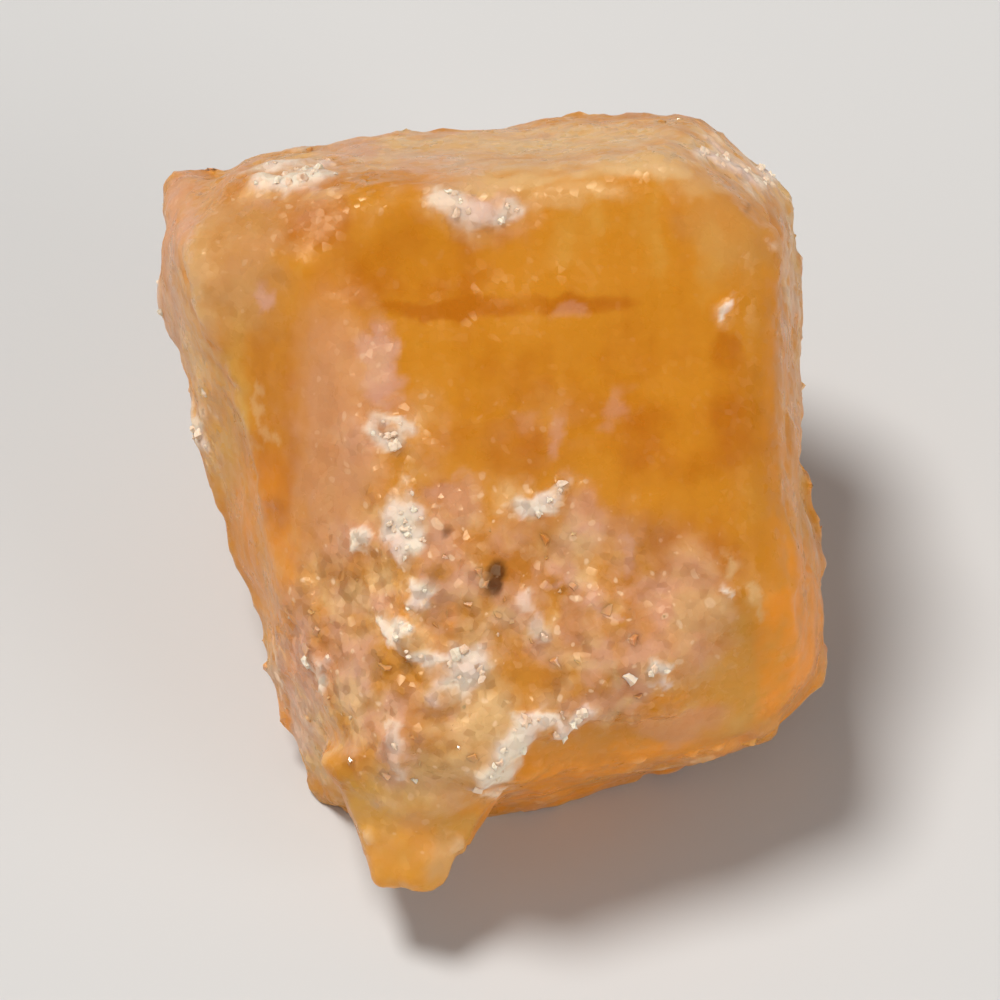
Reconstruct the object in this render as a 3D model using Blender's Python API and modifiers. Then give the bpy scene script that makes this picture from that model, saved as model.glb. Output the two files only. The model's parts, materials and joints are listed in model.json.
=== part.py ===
"""Palm sugar candy: one broken lump of crystallised palm sugar, resting on its flat broken back.

The lump is worked out in its own axes, in millimetres: u runs to the right of the shown face, v towards
its top edge and w out of it, towards whoever looks at it. The heart of the lump is the origin.
A block of sugar is broken along flat faces, a stub is left at the bottom edge, shells are chipped out of
the faces, and the surface then gets its waves, ledges and sugar crust. At the end the lump is leaned
back until it rests on its flat back, with +Z up and the middle of its footprint's box at the origin.
"""

import math

import bmesh
import bpy
import numpy as np
from mathutils import Matrix, Vector, noise

MM = 0.001

# The block that the lump is broken from, in millimetres: across, along and out of the shown face
BLOCK_WIDTH = 36.8
BLOCK_HEIGHT = 40.6
BLOCK_DEPTH = 29.0
BLOCK_LEVEL = -1.2  # the level along w of the block's middle
SHOWN_FACE_RISE = 55.0  # degrees above the floor that the shown face looks, as the lump rests
REST_DISTANCE = 13.0  # from the heart down to the flat that the lump rests on
WIDEST_LEVEL = -3.0  # the level along w at which the outline is widest

# Walls round the lump: direction round the outline (degrees, anticlockwise from +u), distance of the
# outline from the heart, and how far the wall leans in from the widest level, in front and behind
WALLS = {
    "top": (95.0, 19.6, 13.0, 32.0),
    "top_right": (50.0, 22.7, 15.0, 41.0),
    "right": (4.0, 17.4, 9.0, 27.0),
    "lower_right": (-42.0, 21.1, 12.0, 36.0),
    "bottom_right": (-74.5, 18.2, 10.0, 30.0),
    "bottom": (-93.0, 18.9, 15.0, 42.0),
    "bottom_left": (243.0, 20.5, 18.0, 33.0),
    "lower_left": (205.0, 16.7, 20.0, 22.0),
    "left": (194.5, 15.4, 14.0, 30.0),
    "top_left": (138.0, 24.6, 20.0, 45.0),
}
# Broad faces: direction round the outline, lean towards the viewer, distance from the heart
BROAD_FACES = {
    "shown": (70.0, 86.0, 12.4),
    "lower_shown": (-84.0, 76.0, 13.3),
    "left_shown": (196.0, 52.0, 13.8),
    "top_left_shown": (130.0, 40.0, 20.3),
    "right_bevel": (2.0, 44.0, 17.9),
    "streak_bevel": (-62.0, 46.0, 16.7),
    "back": (70.0, -76.0, 15.6),
}

# The stub left at the bottom edge
STUB_FOOT = (-4.3, -15.2, 4.1)  # where it grows out of the lump, in u, v and w
STUB_TIP = (-4.7, -22.3, 4.7)
STUB_FOOT_RADIUS = 6.3
STUB_TIP_RADIUS = 1.5

# Shells chipped out of the lump: middle of each shell, its half sizes along u, v and w, and its turn
# about w in degrees
SHELLS = {
    "brow": ((0.6, 12.4, 13.9), (13.4, 4.4, 3.4), 3.0),
    "left_groove": ((-13.9, -2.2, 9.4), (2.4, 8.0, 2.8), 14.0),
    "low_dish": ((6.2, -6.4, 13.8), (8.4, 5.2, 2.7), -24.0),
    "left_notch": ((-16.9, -7.9, 2.0), (3.4, 3.0, 8.0), -15.0),
    "right_notch": ((19.6, 2.6, 2.4), (3.4, 2.6, 7.0), 8.0),
    "top_notch": ((-9.5, 21.6, 3.0), (6.0, 2.6, 6.5), 5.0),
    "back_dish": ((9.4, 5.8, -17.2), (9.0, 7.0, 4.6), 30.0),
    "side_dish": ((-19.2, 4.4, -8.2), (4.4, 8.0, 5.4), -8.0),
}

# Surface relief: the span of each kind from one rise to the next, and how high it rises
BODY_GRID = 0.5  # spacing of the first even mesh
SOFTENING_ROUNDS = 9  # how many times the broken edges are eased
SURFACE_SEED = Vector((17.0, 4.0, 31.0))
WAVE_SPAN, WAVE_HEIGHT = 11.0, 0.62
RIPPLE_SPAN, RIPPLE_HEIGHT = 4.2, 0.34
BARE_RIPPLE = 0.45  # share of the ripple that is left where no crust lies
CRUST_SPAN, CRUST_HEIGHT = 2.1, 0.30
LEDGE_STEP, LEDGE_HEIGHT = 2.3, 0.2
LEDGE_RUN = Vector((0.35, 0.8, 0.0))  # the way that the ledges follow each other
LEDGE_WANDER = 6.0  # how far the waves push the ledges out of line
SEAM_HEIGHT = 0.34

EDGE_WANDER = 3.0  # how far the edges of the crust stray from plain ovals and lines
# Sugar crust on the shown side: middle in u and v, and half sizes along u and v
CRUST_PATCHES = {
    "lower_field": ((0.6, -8.6), (12.0, 7.6)),
    "left_band": ((-8.6, 2.0), (3.4, 9.0)),
    "top_left_cap": ((-11.8, 16.6), (3.4, 1.7)),
    "brow_cap": ((-1.2, 15.2), (3.0, 1.1)),
    "stub_skin": ((-4.6, -19.4), (3.4, 3.0)),
}
# Thick white seams of crust that run along broken edges: from, to and half width, in u and v
CRUST_SEAMS = {
    "ridge": ((-9.4, 9.2), (-5.6, -3.6), 1.4),
    "ridge_foot": ((-5.4, -3.4), (-2.4, -11.2), 1.6),
    "low_streak": ((-1.4, -16.2), (5.4, -12.4), 1.3),
    "middle_knot": ((0.8, -0.4), (2.8, -1.0), 1.5),
}

TRIANGLES_KEPT = 10400  # before the flat is cut, which takes about a tenth of them away
JOINED_BELOW = 0.04  # points of the flat's rim that lie closer than this are one point

AMBER = (0.60, 0.27, 0.055, 1.0)
ROUGHNESS = 0.42


def face_direction(around, lean):
    """Unit vector that points `around` the outline and leans towards the viewer, both in degrees."""
    turn, rise = math.radians(around), math.radians(lean)
    return Vector((math.cos(rise) * math.cos(turn), math.cos(rise) * math.sin(turn), math.sin(rise)))


def clear_scene():
    """Removes what the scene starts with."""
    for old in list(bpy.data.objects):
        bpy.data.objects.remove(old, do_unlink=True)


def new_collection(name):
    """A collection of that name, linked to the scene."""
    made = bpy.data.collections.new(name)
    bpy.context.scene.collection.children.link(made)
    return made


def object_from(bm, name, collection):
    """Turns a bmesh into an object in the collection."""
    mesh = bpy.data.meshes.new(name)
    bm.to_mesh(mesh)
    bm.free()
    made = bpy.data.objects.new(name, mesh)
    collection.objects.link(made)
    return made


def break_off(bm, point, normal):
    """Breaks away all that lies beyond a plane and closes the break with one flat face."""
    everything = bm.verts[:] + bm.edges[:] + bm.faces[:]
    bmesh.ops.bisect_plane(bm, geom=everything, plane_co=point, plane_no=normal, clear_outer=True)
    rim = [edge for edge in bm.edges if edge.is_boundary]
    if rim:
        bmesh.ops.holes_fill(bm, edges=rim)


def broken_block(collection):
    """The block of sugar with all its flat faces broken, in millimetres."""
    bm = bmesh.new()
    bmesh.ops.create_cube(bm, size=1.0)
    size = Matrix.Diagonal((BLOCK_WIDTH, BLOCK_HEIGHT, BLOCK_DEPTH, 1.0))
    bmesh.ops.transform(bm, matrix=Matrix.Translation((0.0, 0.0, BLOCK_LEVEL)) @ size, verts=bm.verts)
    for around, outline, lean_front, lean_back in WALLS.values():
        rim = face_direction(around, 0.0) * outline + Vector((0.0, 0.0, WIDEST_LEVEL))
        break_off(bm, rim, face_direction(around, lean_front))
        break_off(bm, rim, face_direction(around, -lean_back))
    for around, lean, distance in BROAD_FACES.values():
        normal = face_direction(around, lean)
        break_off(bm, normal * distance, normal)
    return object_from(bm, "block", collection)


def edge_stub(collection):
    """The blunt stub at the bottom edge, a six-sided cone from its foot to its tip."""
    foot, tip = Vector(STUB_FOOT), Vector(STUB_TIP)
    bm = bmesh.new()
    bmesh.ops.create_cone(
        bm,
        cap_ends=True,
        segments=6,
        radius1=STUB_FOOT_RADIUS,
        radius2=STUB_TIP_RADIUS,
        depth=(tip - foot).length,
    )
    turn = (tip - foot).to_track_quat("Z", "Y").to_matrix().to_4x4()
    bmesh.ops.transform(bm, matrix=Matrix.Translation((foot + tip) / 2) @ turn, verts=bm.verts)
    return object_from(bm, "stub", collection)


def shell_cutter(name, middle, half_sizes, turn, collection):
    """A flattened ball that chips one shell out of the lump."""
    bm = bmesh.new()
    bmesh.ops.create_uvsphere(bm, u_segments=40, v_segments=24, radius=1.0)
    place = Matrix.Translation(middle) @ Matrix.Rotation(math.radians(turn), 4, "Z")
    bmesh.ops.transform(bm, matrix=place @ Matrix.Diagonal((*half_sizes, 1.0)), verts=bm.verts)
    return object_from(bm, name, collection)


def add_boolean(target, operation, other):
    """Adds a Boolean modifier that joins or cuts with another object."""
    modifier = target.modifiers.new(other.name, "BOOLEAN")
    modifier.operation = operation
    modifier.solver = "EXACT"
    modifier.object = other


def even_skin(target):
    """Gives the broken form an even mesh and eases its sharp edges a little."""
    remesh = target.modifiers.new("even_mesh", "REMESH")
    remesh.mode = "VOXEL"
    remesh.voxel_size = BODY_GRID
    soften = target.modifiers.new("eased_edges", "SMOOTH")
    soften.factor = 0.5
    soften.iterations = SOFTENING_ROUNDS


def evaluated_mesh(target):
    """A new mesh as the object's modifiers make it."""
    bpy.context.view_layer.update()
    graph = bpy.context.evaluated_depsgraph_get()
    return bpy.data.meshes.new_from_object(target.evaluated_get(graph))


def ease(x):
    """Smooth step from 0 to 1."""
    x = min(max(x, 0.0), 1.0)
    return x * x * (3.0 - 2.0 * x)


def patch_cover(u, v, middle, half_sizes):
    """How far a point lies inside an oval patch: 1 in its middle, 0 outside it."""
    reach = math.hypot((u - middle[0]) / half_sizes[0], (v - middle[1]) / half_sizes[1])
    return ease((1.15 - reach) / 0.5)


def seam_cover(u, v, start, end, half_width):
    """How far a point lies on a seam between two points: 1 on its line, 0 beyond its width."""
    along = ((end[0] - start[0]), (end[1] - start[1]))
    length = along[0] ** 2 + along[1] ** 2
    share = ((u - start[0]) * along[0] + (v - start[1]) * along[1]) / length
    share = min(max(share, 0.0), 1.0)
    gap = math.hypot(u - start[0] - share * along[0], v - start[1] - share * along[1])
    return ease(1.0 - gap / half_width)


def crust_cover(point, normal):
    """(crust, seam): how much sugar crust lies on this point of the surface, each from 0 to 1."""
    u, v, _ = point
    facing = ease((normal.z + 0.15) / 0.5)
    u += EDGE_WANDER * noise.noise(point / 5.0 + SURFACE_SEED)
    v += EDGE_WANDER * noise.noise(point / 5.0 - SURFACE_SEED)
    crust = max(patch_cover(u, v, *oval) for oval in CRUST_PATCHES.values())
    seam = max(seam_cover(u, v, *ends) for ends in CRUST_SEAMS.values())
    sides = ease((noise.fractal(point / 7.0 - SURFACE_SEED, 0.7, 2.0, 3) + 0.12) / 0.3)
    return facing * crust + (1.0 - facing) * sides, facing * seam


def crumb_relief(point):
    """Rounded sugar crumbs side by side, from 0 in the gaps between them to 1 on their tops."""
    near = noise.voronoi(point / CRUST_SPAN + SURFACE_SEED)[0]
    return ease((near[1] - near[0]) * 1.6)


def relief(point, normal):
    """Height of the surface above the broken form, in millimetres. A ledge rises over a third of its
    step and falls back over the rest."""
    waves = noise.fractal(point / WAVE_SPAN + SURFACE_SEED, 0.8, 2.0, 2) * WAVE_HEIGHT
    ripple = noise.fractal(point / RIPPLE_SPAN - SURFACE_SEED, 0.7, 2.1, 3) * RIPPLE_HEIGHT
    crust, seam = crust_cover(point, normal)
    step = (point.dot(LEDGE_RUN) + waves * LEDGE_WANDER) / LEDGE_STEP % 1.0
    ledge = (ease(step * 3.0) - step) * LEDGE_HEIGHT
    crumbs = crumb_relief(point) * CRUST_HEIGHT
    rough = ripple * (BARE_RIPPLE + (1.0 - BARE_RIPPLE) * crust)
    return waves + rough + ledge + crust * crumbs + seam * SEAM_HEIGHT


def roughen(mesh):
    """Moves every vertex along its normal by the surface relief."""
    moved = np.empty(len(mesh.vertices) * 3)
    for i, vertex in enumerate(mesh.vertices):
        moved[3 * i : 3 * i + 3] = vertex.co + vertex.normal * relief(vertex.co.copy(), vertex.normal.copy())
    mesh.vertices.foreach_set("co", moved)
    mesh.update()


def thinned(mesh, collection):
    """The mesh with fewer triangles, spent where the surface bends most."""
    holder = bpy.data.objects.new("thinning", mesh)
    collection.objects.link(holder)
    decimate = holder.modifiers.new("fewer_triangles", "DECIMATE")
    decimate.ratio = TRIANGLES_KEPT / (2 * len(mesh.polygons))
    decimate.use_collapse_triangulate = True
    made = evaluated_mesh(holder)
    bpy.data.objects.remove(holder)
    return made


def lean_back():
    """Turns the lump from its own axes to how it rests, and brings millimetres to metres."""
    tip = Matrix.Rotation(math.radians(90.0 - SHOWN_FACE_RISE), 4, "X")
    return Matrix.Scale(MM, 4) @ Matrix.Translation((0.0, 0.0, REST_DISTANCE)) @ tip


def rest_on_flat(mesh):
    """Leans the lump back, cuts its flat at the floor and centres its footprint's box."""
    bm = bmesh.new()
    bm.from_mesh(mesh)
    bmesh.ops.transform(bm, matrix=lean_back(), verts=bm.verts)
    break_off(bm, Vector((0.0, 0.0, 0.0)), Vector((0.0, 0.0, -1.0)))
    bmesh.ops.remove_doubles(bm, verts=bm.verts, dist=JOINED_BELOW * MM)
    low = [min(vertex.co[axis] for vertex in bm.verts) for axis in (0, 1)]
    high = [max(vertex.co[axis] for vertex in bm.verts) for axis in (0, 1)]
    middle = Vector(((low[0] + high[0]) / 2, (low[1] + high[1]) / 2, 0.0))
    bmesh.ops.translate(bm, vec=-middle, verts=bm.verts)
    bmesh.ops.triangulate(bm, faces=bm.faces)
    print("heart above the middle of the footprint, mm:", [round(-c / MM, 2) for c in middle])
    bm.to_mesh(mesh)
    bm.free()


def amber_sugar():
    """The material of the lump."""
    made = bpy.data.materials.new("amber_sugar")
    made.use_nodes = True
    shader = made.node_tree.nodes["Principled BSDF"]
    shader.inputs["Base Color"].default_value = AMBER
    shader.inputs["Roughness"].default_value = ROUGHNESS
    shader.inputs["Subsurface Weight"].default_value = 0.6
    shader.inputs["Subsurface Radius"].default_value = (1.0, 0.5, 0.2)
    shader.inputs["Subsurface Scale"].default_value = 4.0 * MM
    return made


def main():
    clear_scene()
    candy = new_collection("palm_sugar_candy")
    cutters = new_collection("cutters")

    block = broken_block(cutters)
    stub = edge_stub(cutters)
    add_boolean(block, "UNION", stub)
    shells = [shell_cutter(name, *shape, cutters) for name, shape in SHELLS.items()]
    for shell in shells:
        add_boolean(block, "DIFFERENCE", shell)
    even_skin(block)

    mesh = evaluated_mesh(block)
    for helper in (block, stub, *shells):
        bpy.data.objects.remove(helper)
    roughen(mesh)
    mesh = thinned(mesh, cutters)
    bpy.data.collections.remove(cutters)
    rest_on_flat(mesh)

    lump = bpy.data.objects.new("sugar_lump", mesh)
    candy.objects.link(lump)
    lump.data.materials.clear()
    lump.data.materials.append(amber_sugar())
    lump.data.shade_smooth()
    print("triangles:", len(lump.data.polygons), "size, mm:", [round(s / MM, 1) for s in lump.dimensions])


main()
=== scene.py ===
# %% [markdown]
# # A lump of palm sugar candy
#
# Palm sugar candy is palm sap that has been boiled and left to crystallise for weeks, then broken up. A
# lump is amber and lets light in: where it broke clean it is smooth and waxy, and where crystals grew it
# is rough, pale and full of glints. This file dresses one lump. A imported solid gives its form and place,
# and every step adds what a lens would see next: even skin, crystal relief, loose grains, white crust,
# and light.
#
# Units are metres. Sizes of pieces are written in millimetres times MM, because a lump is thought of in
# millimetres. Places on the shown face are plain millimetres.

import json
import math

import bmesh
import bpy
import numpy as np
from mathutils import Matrix, Vector, noise

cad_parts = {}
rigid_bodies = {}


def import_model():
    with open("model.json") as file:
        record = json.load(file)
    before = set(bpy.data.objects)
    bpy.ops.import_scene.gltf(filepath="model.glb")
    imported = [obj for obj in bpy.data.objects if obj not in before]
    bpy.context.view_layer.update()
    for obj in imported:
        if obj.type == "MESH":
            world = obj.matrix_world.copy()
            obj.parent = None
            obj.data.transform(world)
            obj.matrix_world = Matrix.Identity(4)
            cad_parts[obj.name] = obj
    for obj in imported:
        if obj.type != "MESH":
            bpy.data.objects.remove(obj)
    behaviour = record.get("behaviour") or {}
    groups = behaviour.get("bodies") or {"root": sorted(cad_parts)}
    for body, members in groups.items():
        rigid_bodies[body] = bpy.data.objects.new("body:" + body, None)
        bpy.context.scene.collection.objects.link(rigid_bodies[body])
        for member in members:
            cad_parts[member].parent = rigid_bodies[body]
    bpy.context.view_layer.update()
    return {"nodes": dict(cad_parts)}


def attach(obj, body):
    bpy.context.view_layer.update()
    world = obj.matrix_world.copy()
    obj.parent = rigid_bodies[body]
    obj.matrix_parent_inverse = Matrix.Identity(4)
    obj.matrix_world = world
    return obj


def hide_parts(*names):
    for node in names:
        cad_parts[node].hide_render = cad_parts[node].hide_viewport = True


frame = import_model()
MM = 0.001
LUMP = frame["nodes"]["sugar_lump"]

# %% [markdown]
# ## The shown face's own axes
#
# The lump rests with its best face looking up and forward, 55 degrees above the floor. Everything on that
# face is easier to place in the face's own flat axes: u to the right, v towards its top edge and w
# straight out of it, with zero in the middle of the outline. They could be built with rotation matrices,
# but three dot products do the same and can be read at a glance.

# %% Axes of the shown face
FACE_RISE = math.radians(55.0)
U_AXIS = Vector((1.0, 0.0, 0.0))
V_AXIS = Vector((0.0, math.sin(FACE_RISE), math.cos(FACE_RISE)))
W_AXIS = Vector((0.0, -math.cos(FACE_RISE), math.sin(FACE_RISE)))


def point_rows(mesh, name):
    """A property of the mesh's points, co or normal, as rows of x, y, z."""
    flat = np.empty(len(mesh.vertices) * 3)
    mesh.vertices.foreach_get(name, flat)
    return flat.reshape(-1, 3)


def face_coordinates(rows):
    """Columns u, v and w of the points, not yet centred."""
    return rows @ np.array([U_AXIS, V_AXIS, W_AXIS]).T


seen_flat = face_coordinates(point_rows(LUMP.data, "co"))
FACE_MIDDLE = (seen_flat.min(axis=0) + seen_flat.max(axis=0)) / 2
FACE_SIZE = seen_flat.max(axis=0) - seen_flat.min(axis=0)
print("outline of the shown face, mm:", (FACE_SIZE / MM).round(1))

# %% [markdown]
# ## An even skin over the solid
#
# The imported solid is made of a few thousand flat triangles, which is right for weighing and stacking it
# but not for looking at it. A finer surface could be subdivided from it, but its triangles are uneven and
# the corners would show. A voxel remesh lays a new, even grid of small squares over the same form
# instead, and a few rounds of smoothing take the flats off it. The grid is as fine as the triangle limit
# for one piece allows.

# %% Even skin
SKIN_GRID = 0.255 * MM
SKIN_SOFTENING = 10  # rounds of smoothing
WELD_DISTANCE = 0.001 * MM


def new_piece(name, mesh):
    """An object for a mesh, in the scene and at the origin."""
    mesh.name = name
    made = bpy.data.objects.new(name, mesh)
    bpy.context.scene.collection.objects.link(made)
    return made


def finished_mesh(target):
    """The plain mesh that the modifiers on an object make."""
    bpy.context.view_layer.update()
    graph = bpy.context.evaluated_depsgraph_get()
    return bpy.data.meshes.new_from_object(target.evaluated_get(graph))


def triangle_count(mesh):
    """How many triangles the faces of a mesh come to."""
    return len(mesh.loops) - 2 * len(mesh.polygons)


def even_skin(solid):
    """A fine, even and smooth copy of the solid's surface."""
    bm = bmesh.new()
    bm.from_mesh(solid.data)
    bmesh.ops.remove_doubles(bm, verts=bm.verts, dist=WELD_DISTANCE)
    mesh = bpy.data.meshes.new("skin")
    bm.to_mesh(mesh)
    bm.free()
    holder = new_piece("skin", mesh)
    remesh = holder.modifiers.new("even_grid", "REMESH")
    remesh.mode = "VOXEL"
    remesh.voxel_size = SKIN_GRID
    soften = holder.modifiers.new("soften", "SMOOTH")
    soften.factor = 0.5
    soften.iterations = SKIN_SOFTENING
    made = finished_mesh(holder)
    bpy.data.objects.remove(holder)
    return made


skin = even_skin(LUMP)
print("skin:", len(skin.vertices), "points,", triangle_count(skin), "triangles")

# %% [markdown]
# ## Edges put back
#
# Smoothing rounds the broken edges too. A smaller grid would keep them but costs triangles. Here the skin
# is eased much further in a copy, which loses its edges altogether, and part of what was lost is added
# back, the way that a photograph is sharpened. Easing moves every point to the middle of its neighbours,
# and it is used again below to measure where the lump bulges and to polish its clean breaks.

# %% Sharper edges
BROAD_SOFTENING = 24  # rounds that lose the edges
EDGE_SHARPNESS = 0.3  # share of the lost edge that is put back


def eased(mesh, rows, rounds):
    """The rows after each has become the mean of its neighbours' rows, that many times."""
    ends = np.empty(len(mesh.edges) * 2, dtype=np.int64)
    mesh.edges.foreach_get("vertices", ends)
    a, b = ends.reshape(-1, 2).T
    count = np.bincount(np.concatenate([a, b]), minlength=len(rows))[:, None]
    for _ in range(rounds):
        total = np.zeros_like(rows)
        for column in range(rows.shape[1]):
            total[:, column] = np.bincount(a, rows[b, column], len(rows))
            total[:, column] += np.bincount(b, rows[a, column], len(rows))
        rows = total / count
    return rows


def move_points(mesh, rows):
    """Puts the mesh's points at new places."""
    mesh.vertices.foreach_set("co", rows.ravel())
    mesh.update()


smooth_points = point_rows(skin, "co")
lost_edges = smooth_points - eased(skin, smooth_points, BROAD_SOFTENING)
sharp_points = smooth_points + EDGE_SHARPNESS * lost_edges
sharp_points[:, 2] = np.maximum(sharp_points[:, 2], 0.0)
move_points(skin, sharp_points)
print("edges put back by up to", round(EDGE_SHARPNESS * np.abs(lost_edges).max() / MM, 2), "mm")

# %% [markdown]
# ## Zones on the lump
#
# A painter would look at the lump and see zones: a smooth golden brow, a frosted lower half, white flecks
# where dry sugar cakes on the broken edges, and a pale rim of painted light where light comes through. Each
# zone is kept as a number at every point of the skin, so that the relief, the grains and the colours all
# agree on where it lies. Not every zone is sugar: the rim light, the glow and part of the pale and blushing
# tints are painted light and sheen. The zones could be image textures, but ovals and lines in face
# coordinates, with wandering edges, are enough and stay sharp at any size. On the sides that the shown face
# can't reach, a slow noise lays them instead.

# %% Ovals, lines and slow noise
NOISE_STEPS = (7.3, 3.1, 5.7)  # how far each seed shifts the noise along x, y and z
NOISE_WEAKENING, NOISE_TIGHTENING = 0.8, 2.0  # from one layer of the noise to the next
LINE_CORE, LINE_END = 0.4, 1.4  # where a line starts to fade and ends, in half widths


def ease(x, low=0.0, high=1.0):
    """Smooth step: 0 up to low, and 1 from high on."""
    x = np.clip((x - low) / (high - low), 0.0, 1.0)
    return x * x * (3.0 - 2.0 * x)


def slow_noise(rows, span, seed, layers=3):
    """Smooth noise of that span, about -1 to 1, at each point."""
    shift = Vector([seed * step for step in NOISE_STEPS])
    places = [Vector(row) + shift for row in rows / span]
    return np.array([noise.fractal(place, NOISE_WEAKENING, NOISE_TIGHTENING, layers) for place in places])


def oval(at, middle, half_sizes, edge, turn=0.0):
    """1 inside an oval and 0 outside it. The edge is the width of the fade, in half sizes."""
    c, s = math.cos(math.radians(turn)), math.sin(math.radians(turn))
    du, dv = at[0] - middle[0], at[1] - middle[1]
    reach = np.hypot((c * du + s * dv) / half_sizes[0], (c * dv - s * du) / half_sizes[1])
    return 1.0 - ease(reach, 1.0 - edge / 2, 1.0 + edge / 2)


def line(at, start, end, half_width):
    """1 on the line between two points and 0 beyond its width."""
    run = np.subtract(end, start)
    share = np.clip(((at[0] - start[0]) * run[0] + (at[1] - start[1]) * run[1]) / run.dot(run), 0.0, 1.0)
    gap = np.hypot(at[0] - start[0] - share * run[0], at[1] - start[1] - share * run[1])
    return 1.0 - ease(gap / half_width, LINE_CORE, LINE_END)


def zone(at, edge, ovals, lines=None):
    """How strongly a zone acts at each point: the strongest of its ovals and lines there."""
    made = np.zeros(len(at[0]))
    for middle, half_sizes, strength in ovals.values():
        made = np.maximum(made, strength * oval(at, middle, half_sizes, edge))
    for start, end, half_width, strength in (lines or {}).values():
        made = np.maximum(made, strength * line(at, start, end, half_width))
    return made


ruler = np.linspace(0.0, 2.0, 5)
print("an oval of half size 1, along a ruler:", oval((ruler, 0.0 * ruler), (0.0, 0.0), (1.0, 1.0), 0.9))

# %% [markdown]
# ## Where every point lies
#
# Zones need to know how far a point faces the shown side, how far round the back it is, and whether it
# stands on a rim. A drawn oval has a drawn edge, which sugar never has, so the coordinates themselves
# wander with two sizes of noise before any zone is measured. Ledges, tones and specks use calmer
# coordinates, which wander less and so stay in place.

# %% Coordinates of every point
FACING = (-0.05, 0.40)  # how far a normal leans to the shown side, from not facing to facing
SIDE_DEPTHS = (-14.0, -7.0)  # mm behind the shown face, from full marks to few
SIDE_FADE = 0.85  # how much of the marks is lost on the sides close to the shown face
SLOW_WANDER, SLOW_REACH = 3.2 * MM, 0.9  # span, and reach in mm
QUICK_WANDER, QUICK_REACH = 0.9 * MM, 0.45
U_SEEDS, V_SEEDS = (1, 3), (2, 4)
CALM_SHARE = 0.6  # of the calm coordinates, how much is still
RIM_ROUNDS = 18  # rounds of easing that a rim stands out from
RIM_BULGE = (0.05 * MM, 0.21 * MM)  # from no rim to a full one
RIM_FADE = 0.85  # how much of the rim is lost where it faces the shown side

points = point_rows(skin, "co")
normals = point_rows(skin, "normal")
u, v, w = ((face_coordinates(points) - FACE_MIDDLE) / MM).T
facing = ease(normals @ np.array(W_AXIS), *FACING)
behind = (1.0 - facing) * (1.0 - SIDE_FADE * ease(w - w.max(), *SIDE_DEPTHS))


def wandering(still, slow_seed, quick_seed):
    """A face coordinate that wanders in slow and quick waves."""
    slow = slow_noise(points, SLOW_WANDER, slow_seed)
    quick = slow_noise(points, QUICK_WANDER, quick_seed, layers=2)
    return still + SLOW_REACH * slow + QUICK_REACH * quick


def bulge(rounds):
    """How far each point stands out from the skin around it."""
    return ((points - eased(skin, points, rounds)) * normals).sum(axis=1)


flat = (u, v)
wild = (wandering(u, *U_SEEDS), wandering(v, *V_SEEDS))
calm = tuple(CALM_SHARE * still + (1.0 - CALM_SHARE) * moved for still, moved in zip(flat, wild))
rim = ease(bulge(RIM_ROUNDS), *RIM_BULGE) * (1.0 - RIM_FADE * facing)
print("points that face the shown side:", f"{(facing > 0.5).mean():.0%}")

# %% [markdown]
# ## Marks on the hidden sides
#
# No photograph shows the back, but a lump that broke off the same block has the same frost, crust and
# pale patches there. They could be placed by hand as on the front. Noise above a level does it with one
# short rule instead: where the noise is high enough there is a mark, and the level sets how much of the
# side it covers.

# %% Zones on the sides, and how a zone is kept
SIDES = {  # strength, span of the noise, its seed, levels where a mark starts and is full
    "frost": (0.9, 9.0 * MM, 5, -0.25, 0.30),
    "crust": (0.8, 4.0 * MM, 8, 0.42, 0.67),
    "pale_and_lit": (0.25, 7.0 * MM, 10, -0.5, 0.5),
    "blush_and_sheen": (0.4, 6.0 * MM, 11, 0.0, 0.714),
}


def patches(span, seed, low, high):
    """Patches of slow noise: 0 where it is under low, and 1 where it is over high."""
    return ease(slow_noise(points, span, seed), low, high)


def side_zone(name):
    """A zone on the sides that face away from the shown one."""
    strength, *noise_of_side = SIDES[name]
    return behind * strength * patches(*noise_of_side)


def keep(name, values):
    """Keeps one number for each point of the skin, for the node trees to read, and prints its reach."""
    attribute = skin.attributes.new(name, "FLOAT", "POINT")
    attribute.data.foreach_set("value", np.asarray(values, np.float32))
    print(f"{name}: mean {values.mean():.3g}, over half on {(values > 0.5).mean():.1%} of the points")


keep("rim", rim)

# %% [markdown]
# ## Crust
#
# Where syrup dried last, sugar caked into dry white crust: a cap on the top edge, a broken chain of
# patches down the middle, and a bent streak at the foot. Each patch is an oval or a line at the place and
# in the size that it has on the lump. Crust never ends at once, so a wider halo of frost is worked out
# with it, by the same rule with every patch drawn larger.

# %% Crust patches
CRUST_SPOTS = {  # middle, half sizes, turn in degrees
    "top_left_cap": ((-11.2, 17.3), (2.4, 1.1), -6.0),
    "ridge_fleck": ((-6.1, 3.4), (1.6, 1.1), 6.0),
    "left_tip": ((-16.6, 4.2), (1.1, 1.4), 0.0),
    "middle_knot": ((2.0, 0.1), (1.4, 0.55), -8.0),
    "ridge_foot": ((-5.0, -1.5), (1.1, 1.8), 6.0),
    "foot_side": ((-7.1, -1.9), (0.45, 0.45), 0.0),
    "foot_bead": ((-4.6, -5.0), (0.9, 0.7), 0.0),
    "low_bead": ((-5.3, -7.0), (0.7, 0.7), 0.0),
    "low_patch": ((-2.2, -9.0), (1.5, 1.6), -30.0),
    "right_grain": ((12.2, 10.0), (0.32, 0.36), 0.0),
    "low_grain": ((8.3, -9.0), (0.55, 0.6), 0.0),
    "high_grain": ((12.2, -4.9), (0.35, 0.3), 0.0),
    "left_blush": ((-9.7, -9.2), (0.45, 0.9), 0.0),
}
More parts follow.
